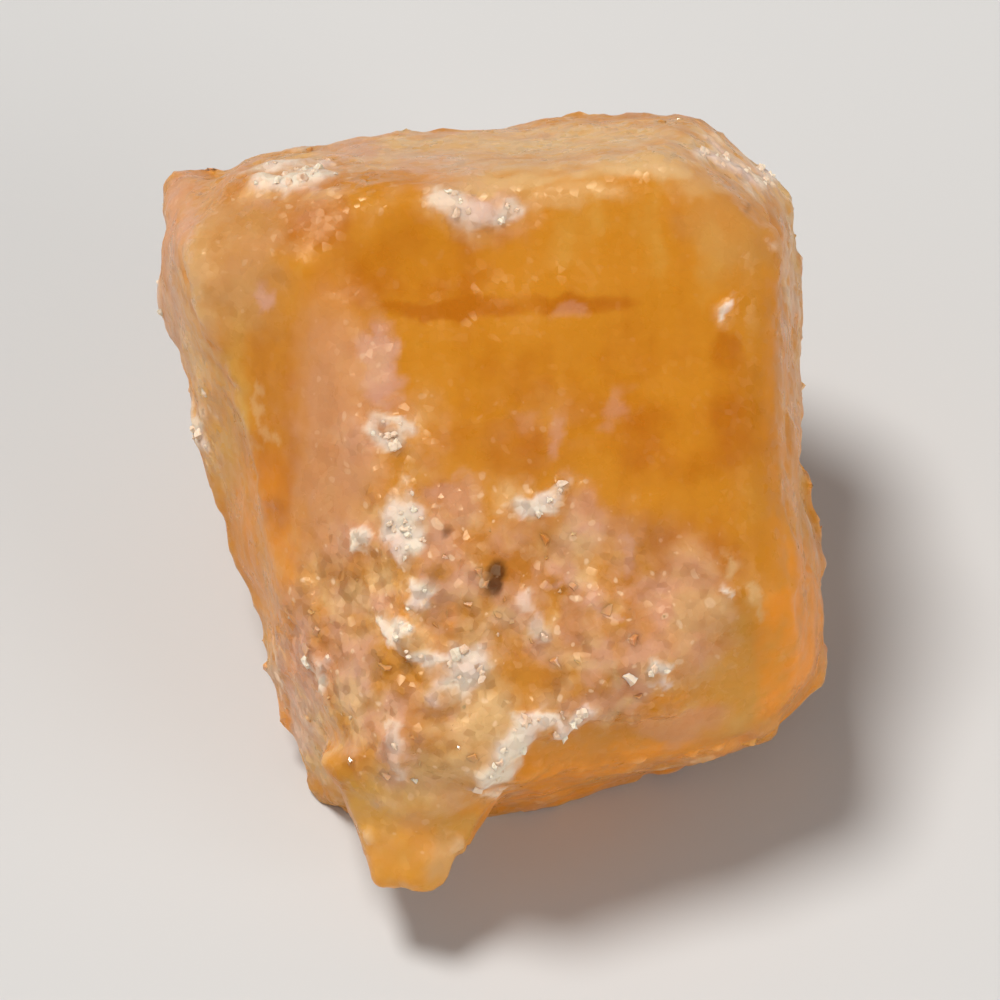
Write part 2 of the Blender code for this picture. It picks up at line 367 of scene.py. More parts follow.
CRUST_LINES = {  # from, to, half width, strength
    "patch_tail": ((-4.5, -7.7), (-2.8, -8.9), 0.4, 1.0),
    "brow_cap": ((-3.2, 15.9), (0.6, 15.5), 0.9, 0.75),
    "low_streak": ((-0.2, -14.8), (0.7, -12.5), 0.75, 1.0),
    "streak_end": ((0.9, -12.0), (4.9, -11.3), 0.38, 1.0),
    "slant_thread": ((1.7, -4.7), (2.3, -7.2), 0.34, 0.6),
    "top_right_rim": ((11.2, 19.0), (14.2, 17.6), 0.75, 1.0),
    "left_thread": ((-5.4, -12.6), (-5.5, -14.8), 0.36, 0.6),
    "right_rim": ((15.5, 13.8), (16.1, 10.4), 0.35, 0.6),
    # partly painted light: left_foot_rim also lightens a wall that faces away from the lights, besides its
    # crumbs
    "left_foot_rim": ((-12.2, -9.2), (-10.8, -12.8), 0.7, 0.38),
}

print("crust patches:", len(CRUST_SPOTS), "spots and", len(CRUST_LINES), "lines")

# %% Crust and its halo
CRUST_EDGE, HALO_EDGE = 0.55, 1.1
HALO_REACH, HALO_STRENGTH = 1.9, 0.75
TINT_SPAN, TINT_SEED = 1.8 * MM, 12
TINT_MIDDLE, TINT_SWING = 0.4, 0.9  # from cream to lilac white


def crusted(widening, edge):
    """How deep each point lies in crust, with every patch and line that many times as wide."""
    made = np.zeros(len(points))
    for middle, half_sizes, turn in CRUST_SPOTS.values():
        made = np.maximum(made, oval(wild, middle, np.multiply(widening, half_sizes), edge, turn))
    for start, end, half_width, strength in CRUST_LINES.values():
        made = np.maximum(made, strength * line(wild, start, end, widening * half_width))
    return made


crust = facing * crusted(1.0, CRUST_EDGE) + side_zone("crust")
halo = crusted(HALO_REACH, HALO_EDGE)
crust_tint = TINT_MIDDLE + TINT_SWING * slow_noise(points, TINT_SPAN, TINT_SEED)
keep("crust_tint", np.clip(crust_tint, 0.0, 1.0))

# %% [markdown]
# ## Frost
#
# Frost is sugar that has begun to crystallise just under the surface: duller, paler and grainy. It fills
# the lower half of the face and thins out upwards, and worn bevels inside it are bare. So frost is drawn
# first, with the halo of the crust, and then the bare bevels are taken out of it. The rims catch a little
# of it too.

# %% Frosted and bare ovals
FROST_OVALS = {  # middle, half sizes, strength
    "lower_field": ((-4.4, -7.4), (8.4, 7.0), 0.95),
    "lower_middle": ((4.0, -7.2), (6.6, 6.4), 0.85),
    "lower_right": ((9.6, -6.9), (4.0, 4.5), 0.55),
    "lower_foot": ((-4.6, -12.6), (4.6, 3.6), 0.85),
    "lower_left": ((-10.2, -9.6), (3.6, 5.6), 0.85),
    "knot_side": ((-2.0, -1.2), (2.8, 1.9), 0.85),
    "face_flecks": ((1.5, 4.0), (3.6, 2.2), 0.12),
    "left_band": ((-8.4, 3.0), (2.2, 7.0), 0.22),
    "upper_left": ((-15.0, 13.6), (3.0, 5.2), 0.22),
    "top_strip": ((2.0, 19.6), (15.0, 1.7), 0.32),
    "ridge_glint": ((-6.7, 7.6), (1.2, 1.9), 0.45),
    "stub": ((-5.0, -17.6), (2.6, 2.4), 0.30),
}
BARE_OVALS = {
    "low_bevel": ((8.4, -14.0), (7.6, 2.4), 0.9),
    "field_window": ((0.9, -9.6), (1.6, 1.2), 0.25),
    "left_slope": ((-13.6, 2.0), (1.8, 6.0), 0.6),
    "left_foot": ((-13.2, -4.6), (1.2, 4.0), 0.6),
    "right_low": ((14.4, -6.4), (1.7, 6.8), 0.85),
    "low_corner": ((12.2, -10.4), (2.0, 1.6), 0.7),
}
FROST_EDGE, BARE_EDGE = 0.7, 0.6
RIM_FROST, RIM_PATCHES = 0.35, (2.5 * MM, 6, -0.4, 0.6)

front_frost = np.maximum(zone(wild, FROST_EDGE, FROST_OVALS), HALO_STRENGTH * halo)
for middle, half_sizes, strength in BARE_OVALS.values():
    front_frost = front_frost * (1.0 - strength * oval(wild, middle, half_sizes, BARE_EDGE))
frosted_rim = RIM_FROST * rim * patches(*RIM_PATCHES)
frost = np.clip(facing * front_frost + side_zone("frost") + frosted_rim, 0.0, 1.0)
keep("frost", frost)

# %% [markdown]
# ## Ledges, bumps and beads
#
# The face isn't flat: a low ledge crosses it under the brow, and another steps down to the lower bevel. A
# few spots of the outline stand a little in or out of the solid, and small beads of dried syrup sit along
# the lower edge. All of these are under a millimetre, too fine for the solid, so they are worked out here
# as a height for each point. A bead is measured from the frontmost point of its place, or it would run
# down the whole side like a stripe.

# %% Ledges and small corrections of the outline
BROW_LEDGE = ((-13.5, 15.7), (-9.7, 11.4), (-6.6, 9.9), (1.8, 10.5), (8.6, 11.2))
BROW_HEIGHT, BROW_SOFTNESS = 0.14, 1.3  # mm
LOW_LEDGE = ((-1.6, -15.9), (1.4, -12.8), (5.4, -11.6), (11.0, -11.2))
LOW_HEIGHT, LOW_SOFTNESS = 0.50, 0.7
LEDGE_ENDS = (-1.2, 2.8)  # mm from each end, from nothing to full height
LEDGE_BACK = (2.4, 14.4)  # mm above the line, from full height to nothing
TOUCH_EDGE = 1.0
FORM_TOUCHES = {  # middle, half sizes, height in mm
    "left_wall": ((-17.2, 7.6), (2.4, 7.0), 0.8),
    "left_corner": ((-18.0, 17.0), (1.4, 1.6), 0.6),
    "left_ear": ((-16.2, 19.4), (1.6, 1.3), -0.9),
    "right_bump": ((18.2, 1.6), (1.4, 3.4), -0.9),
    "stub_tip": ((-5.2, -22.4), (2.4, 1.4), -0.5),
    "low_left": ((-14.2, -7.0), (1.6, 2.6), -0.6),
}


def ledge(at, corners, height, softness):
    """Height of a ledge on the upper side of a line through the corners. It fades out at both ends."""
    nearest = np.full(len(at[0]), np.inf)
    above = np.zeros(len(at[0]))
    passed = np.zeros(len(at[0]))
    walked = 0.0
    for start, end in zip(corners, corners[1:]):
        length = np.hypot(*np.subtract(end, start))
        run = np.subtract(end, start) / length
        along = (at[0] - start[0]) * run[0] + (at[1] - start[1]) * run[1]
        side = (at[1] - start[1]) * run[0] - (at[0] - start[0]) * run[1]
        gap = np.hypot(along - np.clip(along, 0.0, length), side)
        closer = gap < nearest
        nearest = np.where(closer, gap, nearest)
        above = np.where(closer, np.sign(side) * gap, above)
        passed = np.where(closer, walked + along, passed)
        walked += length
    fade = ease(passed, *LEDGE_ENDS) * ease(walked - passed, *LEDGE_ENDS)
    return height * fade * ease(above, -softness / 2, softness / 2) * (1.0 - ease(above, *LEDGE_BACK))


rise = ledge(calm, BROW_LEDGE, BROW_HEIGHT, BROW_SOFTNESS)
rise = facing * (rise + ledge(calm, LOW_LEDGE, LOW_HEIGHT, LOW_SOFTNESS))
for middle, half_sizes, height in FORM_TOUCHES.values():
    rise = rise + height * oval(flat, middle, half_sizes, TOUCH_EDGE)
print("ledges and corrections, mm:", rise.min().round(2), "to", rise.max().round(2))

# %% Beads along the lower edge
EDGE_BEADS = (  # middle and radius
    ((4.6, -15.2), 0.35),
    ((7.6, -14.4), 0.5),
    ((10.6, -14.2), 0.45),
    ((12.3, -14.0), 0.4),
    ((14.0, -13.5), 0.5),
    ((15.6, -12.4), 0.4),
    ((-2.3, -18.8), 0.7),
    ((-7.2, -18.2), 0.45),
)
# the beads' pale tint is partly painted light through them
BEAD_HEIGHT, BEAD_CRUST, BEAD_PALE_AND_LIT = 0.30, 0.12, 0.6
BEAD_FADE = (0.55, 1.45)  # in radii

beads = np.zeros(len(points))
for middle, radius in EDGE_BEADS:
    gap = np.hypot(calm[0] - middle[0], calm[1] - middle[1])
    front = np.argmax(np.where(gap < radius, w, -np.inf))
    beads = np.maximum(beads, 1.0 - ease(np.hypot(gap, w - w[front]) / radius, *BEAD_FADE))
rise = rise + BEAD_HEIGHT * beads
crust = np.maximum(crust, BEAD_CRUST * beads)
keep("crust", crust)

# %% [markdown]
# ## Pale and blushing sugar, partly painted light and sheen
#
# Thin edges let light through and turn cream, and thick frost over amber looks rosy. Here both are painted
# on: the pale tint is partly painted light, for thin edges lit through, the lit top strip, the beads and
# walls that face away from the lights, and partly pale sugar; the rosy tint is partly painted sheen, white
# light reflected off amber, and partly rosy frost. Both are soft tints, so they fade over almost the whole
# oval. Pale ovals mostly follow the rims, blushing ones lie where frost is thick, and the lines are scratches
# and threads of dried syrup, except rim_top, rim_side and left_stroke, which are painted highlights.

# %% Pale ovals and lines, partly painted light
COLOUR_EDGE = 0.9
# partly painted light: thin edges lit through, the lit top strip, and feet and walls that face away from the
# lights; partly pale sugar
PALE_AND_LIT_OVALS = {  # middle, half sizes, strength
    "top_strip": ((3.0, 19.2), (16.0, 1.6), 0.90),
    "top_middle": ((-0.4, 17.7), (3.4, 1.1), 0.75),
    "top_right": ((12.4, 17.4), (3.2, 1.2), 0.45),
    "low_corner": ((12.4, -12.8), (3.0, 0.9), 0.15),
    "streak_side": ((-0.8, -12.3), (1.6, 1.2), 0.70),
    "left_bead": ((-7.8, -10.1), (0.8, 0.8), 0.70),
    "knot_end": ((4.0, -2.0), (0.9, 0.8), 0.50),
    "top_edge": ((3.8, 16.5), (3.2, 0.8), 0.40),
    "upper_left": ((-16.6, 14.0), (1.2, 4.4), 0.15),
    "right_edge": ((17.0, 6.0), (0.5, 12.0), 0.15),
    "low_rim": ((12.0, -14.2), (5.0, 0.5), 0.30),
    "left_edge": ((-16.6, 8.0), (1.4, 6.4), 0.65),
    "low_left_edge": ((-12.8, -9.0), (0.8, 8.0), 0.20),
    "left_foot": ((-10.2, -12.6), (1.4, 2.6), 0.90),
    "stub_neck": ((-3.8, -14.8), (3.0, 1.6), 0.60),
    "stub_side": ((-3.0, -19.4), (0.9, 1.6), 0.45),
    "stub_tip": ((-5.4, -22.0), (2.0, 0.7), 0.30),
    "right_dot": ((12.5, -3.5), (0.5, 0.6), 0.6),
    "right_fleck": ((12.3, -5.6), (0.5, 0.8), 0.5),
}
PALE_AND_LIT_LINES = {  # from, to, half width, strength
    "streak_tip": ((5.2, -11.2), (6.8, -10.6), 0.35, 0.7),
    # painted highlight along the left side
    "left_stroke": ((-13.2, 6.2), (-12.6, 2.9), 0.25, 0.4),
    "field_line": ((3.8, -8.3), (6.1, -9.1), 0.35, 0.6),
    # painted highlights along the right rim
    "rim_top": ((14.6, 17.5), (16.0, 16.0), 0.5, 0.8),
    "rim_side": ((16.2, 15.0), (16.8, 7.0), 0.4, 0.7),
    "right_thread": ((13.9, -4.4), (14.1, -6.4), 0.3, 0.5),
}

pale_and_lit = np.maximum(zone(wild, COLOUR_EDGE, PALE_AND_LIT_OVALS, PALE_AND_LIT_LINES), BEAD_PALE_AND_LIT * beads)
keep("pale_and_lit", facing * pale_and_lit + side_zone("pale_and_lit"))

# %% Blushing ovals and lines, partly painted sheen
# partly painted sheen, white light reflected off amber, and partly rosy frost; the ridge oval is the painted
# lilac-pink glint on the ridge
BLUSH_AND_SHEEN_OVALS = {
    "ridge": ((-6.6, 7.0), (1.1, 2.2), 0.80),
    "ridge_band": ((-8.8, 3.4), (2.6, 7.0), 0.36),
    "brow_cap": ((-1.3, 15.8), (2.4, 0.9), 0.60),
    "slope_dot": ((-12.8, 11.0), (0.6, 0.7), 0.70),
    "lower_left": ((-10.5, -9.3), (1.6, 2.6), 0.60),
    "left_bead": ((-7.5, -10.2), (0.7, 0.7), 0.80),
    "foot_strand": ((-5.7, -13.4), (0.7, 2.4), 0.60),
    "lower_right": ((10.0, -6.4), (2.4, 2.8), 0.30),
    "low_corner": ((9.6, -12.0), (2.4, 1.1), 0.35),
    "left_edge": ((-17.4, 13.4), (0.9, 4.6), 0.55),
    "top_left": ((-8.6, 19.2), (1.5, 0.9), 0.70),
    "top_middle": ((-3.6, 17.9), (3.0, 1.0), 0.40),
    "ledge_fleck": ((3.6, 10.0), (1.0, 0.4), 0.30),
    "knot_end": ((4.7, -0.9), (0.9, 1.5), 0.50),
    "knot_side": ((-2.4, -0.3), (1.5, 1.1), 0.50),
    "face_streak": ((3.2, 3.4), (0.35, 1.2), 0.45),
    "face_fleck": ((1.0, 4.6), (1.2, 0.8), 0.25),
    "pool_fleck": ((6.2, 4.9), (0.6, 1.0), 0.35),
}
BLUSH_AND_SHEEN_LINES = {
    "field_slant": ((2.9, -4.1), (6.7, -6.4), 0.35, 0.7),
    "upper_streak": ((6.9, -1.8), (7.5, -3.4), 0.35, 0.6),
}

keep("blush_and_sheen", facing * zone(wild, COLOUR_EDGE, BLUSH_AND_SHEEN_OVALS, BLUSH_AND_SHEEN_LINES) + side_zone("blush_and_sheen"))

# %% [markdown]
# ## Depths of amber, with painted light and shade
#
# Clear sugar has a tone from deep amber to gold, like honey in a thick or thin glass. Gold ovals push the
# tone up and deep ovals push it down, and clouds of noise with faint upright streaks keep it from looking
# painted. Some of the ovals are painted light and shade and not tone: the deep brow line is the painted
# shadow under the lip of the brow ledge, the deep left groove is painted shade in the groove, the deep upper
# left ovals are painted shade where the key light falls strongly, and the gold right edge and low right bevel
# are painted light on faces that turn away from the lights. Fawn is a duller tan that lies over it, and glow
# is painted light: the bright orange of a corner with light behind it, also laid on walls and bevels that
# face away from the lights. A real light behind the lump could make the glow, but it would light the floor as
# well.

# %% Gold and deep tones, partly painted light and shade
GOLD_OVALS = {
    "brow": ((-1.0, 14.0), (13.0, 2.2), 0.30),
    "stub": ((-5.0, -19.0), (4.0, 4.0), 1.00),
    "left_band": ((-15.0, 6.8), (1.5, 5.4), 1.00),
    # painted light: right_edge and low_right lighten bevels that face away from the lights
    "right_edge": ((16.6, 2.0), (1.6, 14.0), 0.50),
    "low_right": ((13.6, -9.0), (2.6, 5.0), 0.70),
}
DEEP_OVALS = {
    # painted shadow: the two brow_line ovals darken the lip of the brow ledge, which faces down
    "brow_line": ((-2.4, 10.2), (3.8, 0.6), 1.00),
    "brow_line_right": ((3.4, 10.4), (3.4, 0.55), 0.80),
    "brow_left": ((-3.8, 13.0), (5.6, 2.6), 0.72),
    "brow_right": ((9.4, 14.2), (0.8, 2.4), 0.40),
    "brow_end": ((-8.0, 10.9), (2.4, 0.6), 0.40),
    "right_pool": ((10.6, 3.4), (4.6, 2.4), 0.55),
    "right_spot": ((12.2, 7.9), (1.0, 1.2), 0.50),
    # painted shade in the left groove
    "left_groove": ((-12.0, -0.6), (0.9, 3.0), 0.80),
    "left_slope": ((-12.2, 5.0), (1.5, 5.6), 0.50),
    # painted shade: upper_left and upper_left_corner darken the corner where the key light falls strongly
    "upper_left": ((-14.2, 13.4), (2.2, 3.2), 0.60),
    "upper_left_corner": ((-10.4, 14.8), (2.8, 1.8), 1.00),
    "low_left": ((-12.6, -3.6), (1.6, 4.6), 0.30),
    "lower_right": ((9.8, -3.6), (3.8, 2.8), 0.85),
    "field_top": ((2.6, -2.4), (5.4, 2.4), 0.70),
    "face_foot": ((0.6, 2.6), (3.4, 1.8), 0.40),
    "middle_right": ((6.0, 6.5), (6.0, 3.0), 0.35),
    "olive_groove": ((3.6, -6.2), (0.5, 1.5), 0.90),
}
DEEP_LINES = {
    "olive_slant": ((4.2, -7.2), (6.8, -9.8), 0.45, 0.70),
}
TONE_MIDDLE, TONE_SWING = 0.5, 0.5
CLOUD_SPAN, CLOUD_SEED, CLOUD_LAYERS, CLOUD_SWING = 4.0 * MM, 9, 5, 0.26
STREAK_SPAN, STREAK_SEED, STREAK_SWING = 1.3 * MM, 13, 0.12
STREAK_STRETCH = np.array([1.0, 0.14, 0.14])

warmth_and_painted_light = zone(calm, COLOUR_EDGE, GOLD_OVALS) - zone(calm, COLOUR_EDGE, DEEP_OVALS, DEEP_LINES)
clouds = slow_noise(points, CLOUD_SPAN, CLOUD_SEED, CLOUD_LAYERS)
streaks = slow_noise(points * STREAK_STRETCH, STREAK_SPAN, STREAK_SEED)
tone = TONE_MIDDLE + TONE_SWING * facing * warmth_and_painted_light + CLOUD_SWING * clouds + STREAK_SWING * streaks
keep("tone", np.clip(tone, 0.0, 1.0))

# %% Fawn, painted glow and dark specks
FAWN_OVALS = {
    "upper_left": ((-14.4, 13.2), (2.6, 4.4), 0.75),
    "top_right": ((12.4, 14.4), (2.6, 2.6), 0.45),
    "lower_right": ((10.0, -7.6), (3.2, 2.6), 0.25),
    "brow_fade": ((-9.0, 14.6), (2.4, 2.2), 0.10),
    "lower_field": ((-1.0, -6.8), (12.4, 7.8), 0.25),
}
# painted light: orange glow where light would come through corners, also laid on walls and bevels that face
# away from the lights
PAINTED_GLOW_OVALS = {
    "low_bevel": ((8.0, -14.8), (8.0, 1.7), 0.85),
    "right_low": ((16.2, -8.0), (2.2, 6.4), 0.90),
    "underside": ((4.0, -16.6), (4.6, 1.0), 1.00),
    "left_low": ((-12.8, -3.4), (1.8, 5.6), 0.50),
    "right_side": ((15.6, 4.0), (1.4, 10.0), 0.35),
    "left_wall": ((-16.0, 7.8), (1.5, 4.6), 0.45),
    "left_foot": ((-11.0, -11.4), (1.8, 3.4), 0.90),
    "stub": ((-5.0, -20.0), (3.0, 3.0), 0.35),
    "low_corner": ((10.4, -10.2), (3.4, 3.0), 0.50),
    "ember": ((-2.7, -6.0), (0.4, 1.0), 0.90),
    "field_window": ((0.6, -11.0), (2.0, 1.0), 0.15),
}
SPECK_OVALS = {
    "field_speck": ((-0.4, -4.1), (0.5, 0.85), 1.0),
    "knot_speck": ((-2.9, -1.9), (0.3, 0.4), 0.6),
    "tail_groove": ((-4.8, -8.7), (0.35, 0.6), 0.5),
    "corner_dot": ((13.5, 15.7), (0.22, 0.22), 0.6),
}
SPECK_EDGE = 0.7
PAINTED_GLOW_ASIDE = 0.4  # share of the glow on what faces away
PAINTED_GLOW_LEAST, PAINTED_GLOW_SWING, PAINTED_GLOW_PATCHES = 0.45, 0.7, (3.0 * MM, 14, -0.6, 0.4)

painted_glow_drift = PAINTED_GLOW_LEAST + PAINTED_GLOW_SWING * patches(*PAINTED_GLOW_PATCHES)
painted_glow = (PAINTED_GLOW_ASIDE + (1.0 - PAINTED_GLOW_ASIDE) * facing) * zone(calm, COLOUR_EDGE, PAINTED_GLOW_OVALS) * painted_glow_drift
speck = facing * zone(calm, SPECK_EDGE, SPECK_OVALS)
keep("fawn", facing * zone(wild, COLOUR_EDGE, FAWN_OVALS))
keep("painted_glow", painted_glow)
keep("speck", speck)

# %% [markdown]
# ## Clean breaks
#
# A clean break is flatter than the solid's own ripple, so the skin is polished where no sugar grows: the
# points move towards a much smoother copy of themselves. It could be done with a smooth modifier and a
# vertex group, but the numbers for it are already here. Rims and frost keep their roughness, apart from a
# few worn faces and edges, which are polished whatever grows on them.

# %% Polish
SOFT_OVALS = {  # middle, half sizes
    "main_face": ((2.6, 7.0), (10.6, 6.4)),
    "right_bevel": ((14.4, 4.0), (3.2, 13.0)),
    "brow_corner": ((11.5, 16.4), (3.4, 2.6)),
    "brow_edge": ((1.0, 17.2), (12.0, 1.6)),
    "brow_left": ((-9.4, 15.0), (3.6, 2.6)),
    "low_right_bevel": ((13.6, -10.0), (4.0, 4.6)),
    "low_bevel": ((8.0, -13.6), (7.0, 1.8)),
}
SOFT_EDGE = 0.8
BROAD_RIM_ROUNDS, BROAD_RIM_BULGE = 60, (0.0, 0.22 * MM)
FROST_HOLDS = 0.8  # how much of the polish full frost keeps away
POLISH_BLEND_ROUNDS, POLISH_ROUNDS = 12, 120

broad_rim = ease(bulge(BROAD_RIM_ROUNDS), *BROAD_RIM_BULGE)
polish = facing * (1.0 - np.clip(FROST_HOLDS * frost, 0.0, 1.0)) * (1.0 - broad_rim)
for middle, half_sizes in SOFT_OVALS.values():
    polish = np.maximum(polish, facing * oval(flat, middle, half_sizes, SOFT_EDGE))
polish = eased(skin, polish[:, None], POLISH_BLEND_ROUNDS)
move_points(skin, points + polish * (eased(skin, points, POLISH_ROUNDS) - points))
polish = polish[:, 0]
print("polished:", f"{(polish > 0.5).mean():.0%}", "of the points")

# %% Numbers for the relief and the grains
BED_CRUST, BED_SPECK = 1.2, 2.0  # how fast crust and specks end the bed that crystals grow on
FROST_SWELL = 0.12  # mm that frost stands above bare sugar
RUGGED_FACING, RUGGED_POLISH = 0.6, 0.5  # how much less the shown face and clean breaks are chipped

crystal_bed = frost * (1.0 - BED_CRUST * crust) * (1.0 - BED_SPECK * speck) * (1.0 - polish)
keep("crystal_bed", np.clip(crystal_bed, 0.0, 1.0))
keep("rise", (rise + FROST_SWELL * front_frost * facing) * MM)
keep("rugged", np.clip(1.0 - RUGGED_FACING * facing - RUGGED_POLISH * polish, 0.0, 1.0))

# %% [markdown]
# ## Small helpers for node trees
#
# Every node tree below, of geometry or of a material, is written with the same few words: add a node,
# feed its inputs, and do some arithmetic between sockets. The trees could be drawn by hand in the node
# editor, but in a script they can be read, changed and run again. A helper for each word keeps them as
# short as a recipe. A small trial tree shows what they make. It is thrown away before the first real one.


# %% Nodes and arithmetic
def feed(tree, node, key, source):
    """Feeds one input of a node from a socket or a plain value."""
    if isinstance(source, bpy.types.NodeSocket):
        tree.links.new(source, node.inputs[key])
    else:
        node.inputs[key].default_value = source


def add_node(tree, kind, feeds=None, **settings):
    """Adds a node with its settings, and feeds its inputs."""
    node = tree.nodes.new(kind)
    for name, value in settings.items():
        setattr(node, name, value)
    for key, source in (feeds or {}).items():
        feed(tree, node, key, source)
    return node


def maths(tree, operation, a, b=0.0):
    """One arithmetic step between two sockets or numbers."""
    return add_node(tree, "ShaderNodeMath", {0: a, 1: b}, operation=operation).outputs[0]


def vector_maths(tree, operation, a, b=(0.0, 0.0, 0.0)):
    """One arithmetic step between two vectors. A dot product comes out as a number."""
    node = add_node(tree, "ShaderNodeVectorMath", {0: a, 1: b}, operation=operation)
    return node.outputs["Value" if operation == "DOT_PRODUCT" else "Vector"]


def scaled(tree, vector, factor):
    """A vector times a number."""
    node = add_node(tree, "ShaderNodeVectorMath", {0: vector, "Scale": factor}, operation="SCALE")
    return node.outputs["Vector"]


def remap(tree, value, low, high):
    """Brings a value from low..high to 0..1 and smooths both ends."""
    feeds = {"Value": value, "From Min": low, "From Max": high}
    return add_node(tree, "ShaderNodeMapRange", feeds, interpolation_type="SMOOTHSTEP").outputs["Result"]


trial = bpy.data.node_groups.new("trial", "GeometryNodeTree")
remap(trial, maths(trial, "ADD", 1.0, 2.0), 0.0, 1.0)
print("a trial tree:", [node.bl_label for node in trial.nodes], "with", len(trial.links), "link")

# %% Mixing, tree inputs and outputs
COLOUR_SOCKETS, COLOUR_RESULT = (0, 6, 7), 2  # share, a, b and the result of a Mix node for colours
NUMBER_SOCKETS, NUMBER_RESULT = (0, 2, 3), 0  # and for numbers


def mix_colours(tree, share, a, b):
    """Colour a where share is 0 and colour b where it is 1."""
    feeds = dict(zip(COLOUR_SOCKETS, (share, a, b)))
    return add_node(tree, "ShaderNodeMix", feeds, data_type="RGBA", clamp_factor=True).outputs[COLOUR_RESULT]


def mix_numbers(tree, share, a, b):
    """Number a where share is 0 and number b where it is 1."""
    feeds = dict(zip(NUMBER_SOCKETS, (share, a, b)))
    return add_node(tree, "ShaderNodeMix", feeds, clamp_factor=True).outputs[NUMBER_RESULT]


def tree_input(tree, name, kind, value=None):
    """Gives a tree a named input, with a starting value where it has one."""
    made = tree.interface.new_socket(name=name, in_out="INPUT", socket_type=kind)
    if value is not None:
        made.default_value = value


def tree_output(tree, name, kind):
    """Gives a tree a named output."""
    tree.interface.new_socket(name=name, in_out="OUTPUT", socket_type=kind)


def run_tree(target, tree, values):
    """The plain mesh that a geometry tree makes on an object, with the tree's named inputs set."""
    modifier = target.modifiers.new(tree.name, "NODES")
    modifier.node_group = tree
    for item in tree.interface.items_tree:
        if item.item_type == "SOCKET" and item.in_out == "INPUT" and item.name in values:
            modifier[item.identifier] = values[item.name]
    made = finished_mesh(target)
    target.modifiers.remove(modifier)
    return made


mix_numbers(trial, maths(trial, "ADD", 1.0, 2.0), 0.0, 1.0)
print("with a mix:", [node.bl_label for node in trial.nodes], "and", len(trial.links), "links")

# %% [markdown]
# ## Crystal relief
#
# Where crystals show, the surface breaks into small flat facets that tilt every way, and where it is bare
# it only waves, with fine upright flutes. Crust stands a little proud and is crumbly. A sculptor would
# chip it by hand. Here a geometry tree does it by rule. A Voronoi pattern cuts space into cells, each
# cell gets a random direction, and the surface inside a cell is tilted along it. Three sizes of cell and
# some soft noise make it natural, and the zones say how strongly each of them acts.

# %% Facets, waves and warped places
MIDDLE = (0.5, 0.5, 0.5)  # of a noise or a random colour: without it, they lean both ways


def facet_height(tree, place, size, tilt, softness=0.0):
    """Height of flat facets of that size, each tilted its own way. Softness rounds the steps."""
    feeds = {"Vector": place, "Scale": maths(tree, "DIVIDE", 1.0, size)}
    if softness > 0.0:
        feeds["Smoothness"] = softness
    cells = add_node(tree, "ShaderNodeTexVoronoi", feeds, feature="SMOOTH_F1" if softness > 0.0 else "F1")
    slope = vector_maths(tree, "SUBTRACT", cells.outputs["Color"], MIDDLE)
    offset = vector_maths(tree, "SUBTRACT", place, cells.outputs["Position"])
    return maths(tree, "MULTIPLY", vector_maths(tree, "DOT_PRODUCT", offset, slope), tilt)


def soft_noise(tree, place, size, detail=2.0):
    """Soft noise of that size. Its first output is one noise, and its Color is three."""
    feeds = {"Vector": place, "Scale": maths(tree, "DIVIDE", 1.0, size), "Detail": detail}
    return add_node(tree, "ShaderNodeTexNoise", feeds).outputs


def waves(tree, place, size, height, detail=2.0):
    """Height of soft noise of that size, evenly above and below nothing."""
    level = maths(tree, "SUBTRACT", soft_noise(tree, place, size, detail)[0], MIDDLE[0])
    return maths(tree, "MULTIPLY", level, height)


def warped(tree, place, size, reach):
    """The place shifted by soft noise, so that cells built on it have no straight pattern."""
    drift = vector_maths(tree, "SUBTRACT", soft_noise(tree, place, size)["Color"], MIDDLE)
    return vector_maths(tree, "ADD", place, scaled(tree, drift, reach))


def stored(tree, name):
    """A number kept at the points of a mesh, read in a geometry tree."""
    return add_node(tree, "GeometryNodeInputNamedAttribute", {"Name": name}).outputs["Attribute"]


waves(trial, MIDDLE, 1.0 * MM, 0.1 * MM)
print("with waves:", len(trial.nodes), "nodes and", len(trial.links), "links")
bpy.data.node_groups.remove(trial)

# %% Relief tree
RELIEF = {
    "Chip size": 5.5 * MM,
    "Chip tilt": 0.16,
    "Facet size": 2.6 * MM,
    "Facet tilt": 0.17,
    "Fine facet size": 1.2 * MM,
    "Fine facet tilt": 0.16,
    "Wave size": 2.6 * MM,
    "Wave height": 0.15 * MM,
    "Flute size": 1.6 * MM,
    "Flute height": 0.06 * MM,
    "Crust height": 0.16 * MM,
    "Crumb size": 0.9 * MM,
    "Crumb height": 0.36 * MM,
}
STEP_SOFTNESS = 0.2
CHIP_WARP = (4.0 * MM, 3.0 * MM)  # size and reach
SUGAR_WARP = (1.6 * MM, 1.1 * MM)
FLUTE_STRETCH = (1.0, 0.16, 0.16)
FLOOR = (-1.0, -1.0, 0.0)  # the lowest place for a point: only z has a real limit


